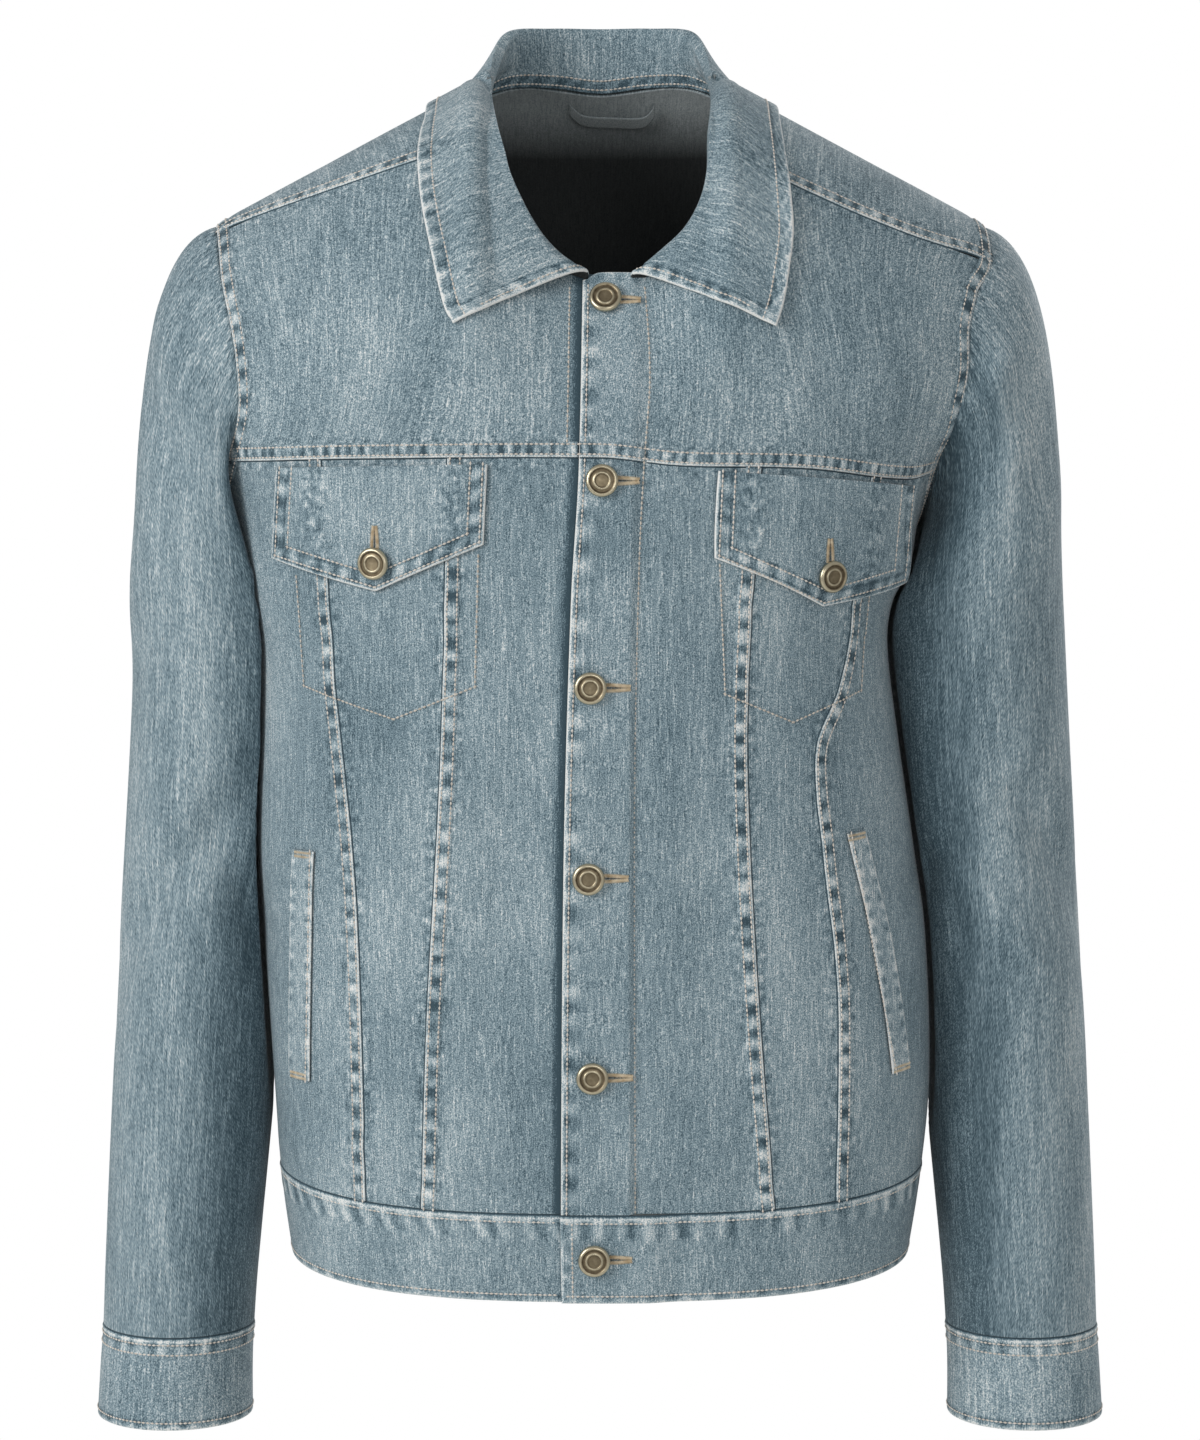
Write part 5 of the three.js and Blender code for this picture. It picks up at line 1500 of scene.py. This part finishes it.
def hanger_loop():
    """The loop inside the back of the neck: a narrow folded strip along its own line."""
    f, t = shares(60, 1.0), shares(HANGER_LOOP["height"], 0.8)
    middle = through(HANGER_LOOP["points"], f)
    x, z = middle[:, :1] + 0 * t, middle[:, 1:] + (t - 0.5) * HANGER_LOOP["height"]
    p, _ = points_of(over_shoulder, x, tilt_at(x, z, True), -HANGER_INSIDE + 0 * x)
    p = p[::-1]
    # The loop is darkened all over: painted shade of the hollow it hangs in; its bars are the wash's marks.
    cloth("hanger_loop", p, HANGER_WALL, "lrbt", 0.0, -1.2 + 0.6 * edge_bars(p, "bt", 0, 3, 4.0, 109))


hanger_loop()


def inset(points, away):
    """A line of corners moved to its left by a distance, its corners mitred."""
    p = np.array(points, float)
    forward = unit(np.diff(p, axis=0))
    left = np.stack([-forward[:, 1], forward[:, 0]], -1)
    before, after = np.concatenate([left[:1], left]), np.concatenate([left, left[-1:]])
    return p + away * (before + after) / (1 + dot(before, after))[:, None]


def front_rows(panel, corners, away, height, kind="beige"):
    """Straight rows of stitches on the front, one for each side of a line of corners in x and z."""
    line = inset(corners, away)
    for a, b in zip(line[:-1], line[1:]):
        stitched(panel, front, [a, b], 0.0, height, kind, straight=True)


def buttonhole(panel, surface, line, height):
    """Tan stitches close together across both sides of a slit of painted shadow, coming in to a point at the
    far end.
    """
    path, at = spaced(surface, straight_line(*line), 0.62)
    half = 2.5 * (1 - 0.55 * (at / at[-1]) ** 2)
    for side_of in (1, -1):
        u, v = beside(surface, path, (side_of * half * 0.62)[:, None])
        p, n = on_cloth(surface, u[:, 0], v[:, 0], height)
        forward = unit(np.gradient(p, axis=0))
        left = unit(np.cross(n, forward) + 0.25 * forward * side_of)
        add_stitches(panel, "tan", p + n * 0.3, left, n, 2.7, 1.0, 1.2)
    # The slit's dark stitches are painted shadow
    slit, n = on_cloth(surface, path[::3, 0], path[::3, 1], height + 0.15)
    add_stitches(panel, "dark", slit, unit(np.gradient(slit, axis=0)), n, 3.0, 0.5, 0.5)


def bar_tack(panel, surface, place, along, height, length=8.0):
    """A close bar of tan stitches that holds the end of a welt."""
    half = np.array(along) * length / 2
    path, _ = spaced(surface, straight_line(place - half, place + half), 0.6)
    p, n = on_cloth(surface, path[:, 0], path[:, 1], height)
    forward = unit(np.gradient(p, axis=0))
    add_stitches(panel, "tan", p, np.cross(n, forward), n, 2.2, 0.6, 0.7)


def pocket_height(side):
    """Height of the pocket bag's stitches: over the two lapped seams that they cross, or on the cloth."""

    def height(x, z):
        inner, outer = (read(rows, z, side) for rows in (INNER_SEAM, OUTER_SEAM))
        on_inner = (SIDES[side] * (inner - x) > 0) & (SIDES[side] * (inner - x) < STRIP["width"])
        on_outer = (SIDES[side] * (x - outer) > 0) & (SIDES[side] * (x - outer) < STRIP["width"])
        return np.where(on_inner | on_outer, STRIP["high"] + 0.15, 0.45)

    return height


for side, sign in SIDES.items():
    flap = FLAPS[side]
    height = lambda x, z, flap=flap, side=side: ON_TOP + flap_away(flap, FLAP_STAND_OFF[side], x)
    corners = [flap["top"][0], *flap["bottom"], flap["top"][-1]]
    for row in FLAP_ROWS:
        front_rows(f"pocket_flap_{side}", corners, row, height)
    front_rows(f"front_middle_{side}", POCKET_BAGS[side], 0.0, pocket_height(side), "grey")
    x, z = FLAP_BUTTONS[side][:2]
    hole = [(x, z + FLAP_HOLE[0] - 3), (x, z + FLAP_HOLE[1])]
    buttonhole(f"pocket_flap_{side}", front, hole, height(x, z))
    welt = WELTS[side]
    for end, out in (("top", 1), ("bottom", -1)):
        middle = np.mean(welt[end], axis=0) + (0, -1.2 * out)
        across_it = unit(np.subtract(welt[end][1], welt[end][0]).astype(float))
        bar_tack(f"pocket_welt_{side}", front, middle, across_it, LAID_ON + CLOTH, 9.0)
        bar_tack(f"pocket_welt_{side}", front, middle + (0, -2.2 * out), across_it, LAID_ON + CLOTH, 9.0)
    length = [welt["bottom"][0], welt["top"][0]] if sign > 0 else [welt["top"][1], welt["bottom"][1]]
    front_rows(f"pocket_welt_{side}", length, -1.8, LAID_ON + CLOTH)
    ring = cuff_ring(side)
    a0, a1 = -sign * -CUFF["start"], -sign * (2 * math.pi + CUFF["lap_turn"] - CUFF["start"])
    turn = np.linspace(min(a0, a1) + 0.03, max(a0, a1) - 0.03, 40)
    lift = lambda a, z, sign=sign: cuff_lift(-sign * a)
    for z in (CUFF["top"] - 4.2, CUFF["top"] - 9.5, CUFF["bottom"] + 4):
        stitched(f"cuff_{side}", ring, np.stack([turn, np.full(40, z)], -1), 0.0, lift)
    hole = [(sign * (CUFF_BUTTON[0] - away), CUFF_BUTTON[1]) for away in CUFF_HOLE]
    buttonhole(f"cuff_{side}", ring, hole, ON_TOP - 0.1)

z = np.linspace(BAND["seam"] + 1, NECK_CENTRE - 5, 30)
stitched("placket_left", front, np.stack([placket_edge(z) + 3, z], -1), 0.0, ON_TOP - 0.2)
stitched("placket_left", front, np.stack([placket_seam(z) - 1.2, z], -1), 0.0, 0.15, "grey")
beside_placket = np.stack([placket_edge(z) - 6.5, z], -1)[z > YOKE_HEIGHT]
stitched("button_stand_right", front, beside_placket, 0.0, 0.0, "grey")
for (x, z), reach in zip(FRONT_BUTTONS, BUTTONHOLES):
    on_band = z < BAND["seam"]
    lift = (lambda u, v: ON_TOP) if on_band else placket_lift
    panel = "waistband" if on_band else "placket_left"
    buttonhole(panel, front, [(x + 6, z), (reach, z)], float(lift(x + 10, z)))

start = float(turn_at(PLACKET_EDGE["x"][0], BAND["seam"]))
lap = [float(turn_at(BAND[key], BAND["seam"])) for key in ("lap_from", "lap_to")]
band_lift = lambda turn, z: ON_TOP * (1 - smooth((turn - lap[0]) / (lap[1] - lap[0])))
turn = np.linspace(start + 0.02, 2 * math.pi - 0.14, 80)
for row in (band_seam(turn) - 4.6, band_bottom(turn) + 4):
    stitched("waistband", around, np.stack([turn, row], -1), 0.0, lambda u, v: band_lift(u, v) - 0.2)
end = [(start + 0.035, BAND["bottom"] + 4), (start + 0.035, BAND["seam"] - 5)]
stitched("waistband", around, end, 0.0, ON_TOP - 0.1, straight=True)

s = np.linspace(0.008, 0.992, 80)
stitched("collar", collar, np.stack([s[::-1], 0 * s + 0.995], -1)[::-1], -COLLAR_ROW, -0.2)
for place in (0.0115, 1 - 0.0115):
    stitched("collar", collar, [(place, 0.12), (place, 0.9)], 0.0, -0.1, straight=True)
for away in (1.2, NECK_TAPE):
    s = np.linspace(0.2, 0.8, 60)
    stitched("collar", collar, np.stack([s, 0 * s + 0.004], -1), away, 0.4)
finish_sewing()


# Buttons


def button(name, seat, facing):
    """A shank button: its profile of radius and height, turned about the direction it faces."""
    radius, height = BUTTON["radius"][1:-1], BUTTON["height"][1:-1]
    side_way = unit(np.cross(facing, (0.0, 0.0, 1.0)))
    up_way = np.cross(side_way, facing)
    turn = np.linspace(0, 2 * math.pi, BUTTON_SIDES, endpoint=False)[:, None, None]
    outwards = np.cos(turn) * side_way - np.sin(turn) * up_way
    rings = radius[None, :, None] * outwards + height[None, :, None] * facing
    poles = np.array([BUTTON["height"][0] * facing, BUTTON["height"][-1] * facing])
    p = np.concatenate([rings.reshape(-1, 3), poles]) + seat
    count, rows = BUTTON_SIDES, len(radius)
    i, j = np.meshgrid(np.arange(count), np.arange(rows - 1), indexing="ij")
    a, b = (i * rows + j).ravel(), ((i + 1) % count * rows + j).ravel()
    i = np.arange(count)
    low, high = i * rows, i * rows + rows - 1
    fans = np.stack([np.roll(low, -1), low, np.full(count, count * rows)], -1)
    tops = np.stack([high, np.roll(high, -1), np.full(count, count * rows + 1)], -1)
    piece = mesh_object(name, p, [np.stack([a, b, b + 1, a + 1], -1), fans, tops])
    patina = np.concatenate([np.tile(BUTTON["patina"][1:-1], count), BUTTON["patina"][[0, -1]]])
    give_value(piece, "patina", patina)
    piece.data.materials.append(MATERIALS["brass"])
    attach(piece, "root")
    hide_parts(name)


def seated(surface, u, v, lift):
    """Where a button sits on a surface, and the way it faces."""
    p, n = points_of(surface, np.array([u], float), np.array([v], float), np.array([lift]))
    return p[0], n[0]


for k, (x, z) in enumerate(FRONT_BUTTONS):
    button(f"front_button_{k + 1}", *seated(front, x, z, ON_TOP + BUTTON_GAP))
for side, (x, z, above) in FLAP_BUTTONS.items():
    button(f"flap_button_{side}", *seated(front, x, z, ON_TOP + above + BUTTON_GAP))
for side, sign in SIDES.items():
    seat = seated(cuff_ring(side), sign * CUFF_BUTTON[0], CUFF_BUTTON[1], ON_TOP + BUTTON_GAP)
    button(f"cuff_button_{side}", *seat)


# Camera, light and floor


CAMERA = {"back": 2.2, "up": -0.12, "aim": -0.335, "lens": 100.48}


def add_camera():
    """The camera in front, level across, looking down at the middle of the jacket."""
    camera = bpy.data.objects.new("camera", bpy.data.cameras.new("camera"))
    bpy.context.scene.collection.objects.link(camera)
    camera.location = (0, -CAMERA["back"], CAMERA["up"])
    camera.rotation_euler = (math.pi / 2 - math.atan((CAMERA["up"] - CAMERA["aim"]) / CAMERA["back"]), 0, 0)
    camera.data.sensor_fit = "VERTICAL"
    camera.data.sensor_height = 36
    camera.data.lens = CAMERA["lens"]
    bpy.context.scene.camera = camera


def area_light(name, place, aim, size, power):
    """A soft rectangular lamp, aimed at a place."""
    light = bpy.data.lights.new(name, "AREA")
    light.shape = "RECTANGLE"
    light.size, light.size_y = size
    light.energy = power
    lamp = bpy.data.objects.new(name, light)
    bpy.context.scene.collection.objects.link(lamp)
    lamp.location = place
    lamp.rotation_euler = (Vector(aim) - Vector(place)).to_track_quat("-Z", "Y").to_euler()


def studio_world(seen, cast):
    """A white studio all round: as bright as seen behind the jacket, and dimmer as light on it."""
    world = bpy.data.worlds.new("white_studio")
    bpy.context.scene.world = world
    world.use_nodes = True
    tree = world.node_tree
    ray = add_node(tree, "ShaderNodeLightPath").outputs["Is Camera Ray"]
    strength = add_up(tree, cast, (ray, seen - cast))
    tree.links.new(strength, tree.nodes["Background"].inputs["Strength"])
    tree.nodes["Background"].inputs["Color"].default_value = (1, 1, 1, 1)


bpy.context.scene.view_settings.view_transform = "Standard"
add_camera()
studio_world(1.0, 0.42)
area_light("left_softbox", (-2.3, -2.0, 0.7), (0, 0, -0.35), (1.6, 1.6), 54)
area_light("front_fill", (0.6, -3.0, 0.1), (0, 0, -0.35), (1.2, 1.2), 12)
area_light("back_softbox", (1.6, 2.4, 0.8), (0, 0, -0.35), (1.8, 1.8), 45)

# The flat size of each piece of cloth as it shows, in millimetres, with its area in square centimetres

CUTS = {
    "front_centre": (74, 399, 248, "hung", "front_yoke"),
    "front_middle": (70, 399, 197, "hung", "front_yoke"),
    "front_side": (145, 399, 480, "hung", "front_yoke"),
    "front_yoke": (243, 175, 268, "hung", "back_yoke"),
    "sleeve_upper": (312, 618, 1190, "hung", "back_yoke"),
    "sleeve_under": (155, 511, 555, "hung", "back"),
    "cuff": (284, 51, 141, "hung", "sleeve_upper"),
    "pocket_flap": (136, 68, 73, "laid", "front_middle"),
    "pocket_welt": (18, 134, 21.5, "laid", "front_side"),
    "back_yoke": (712, 271, 830, "hung", "collar"),
    "back": (651, 479, 2018, "hung", "back_yoke"),
    "button_stand": (41, 497, 199, "hung", "front_centre"),
    "placket": (41, 499, 190, "laid", "button_stand_right"),
    "waistband": (973, 51, 467, "hung", "back"),
    "collar": (686, 100, 490, "folded", "back_yoke"),
    "hanger_loop": (60, 10, 4, "hung", "back_yoke"),
}


FLOOR = {"half": 2000, "z": -1450}


def add_floor():
    """A plain pale floor, square and level, where the wearer's feet would be."""
    x = np.array([[-1, -1], [1, 1]]) * FLOOR["half"]
    y = np.array([[-1, 1], [-1, 1]]) * FLOOR["half"]
    floor = mesh_object("floor", np.stack([x, y, 0 * x + FLOOR["z"]], -1).reshape(-1, 3), [grid_quads(2, 2)])
    floor.data.materials.append(paint("pale_studio_floor", "#e6e6e4"))


add_floor()

for name, piece in PIECES.items():
    side = name.split("_")[-1] if name.split("_")[-1] in SIDES else ""
    width, length, area, held, below = CUTS[name.removesuffix(f"_{side}") if side else name]
    below = f"{below}_{side}" if f"{below}_{side}" in PIECES else below
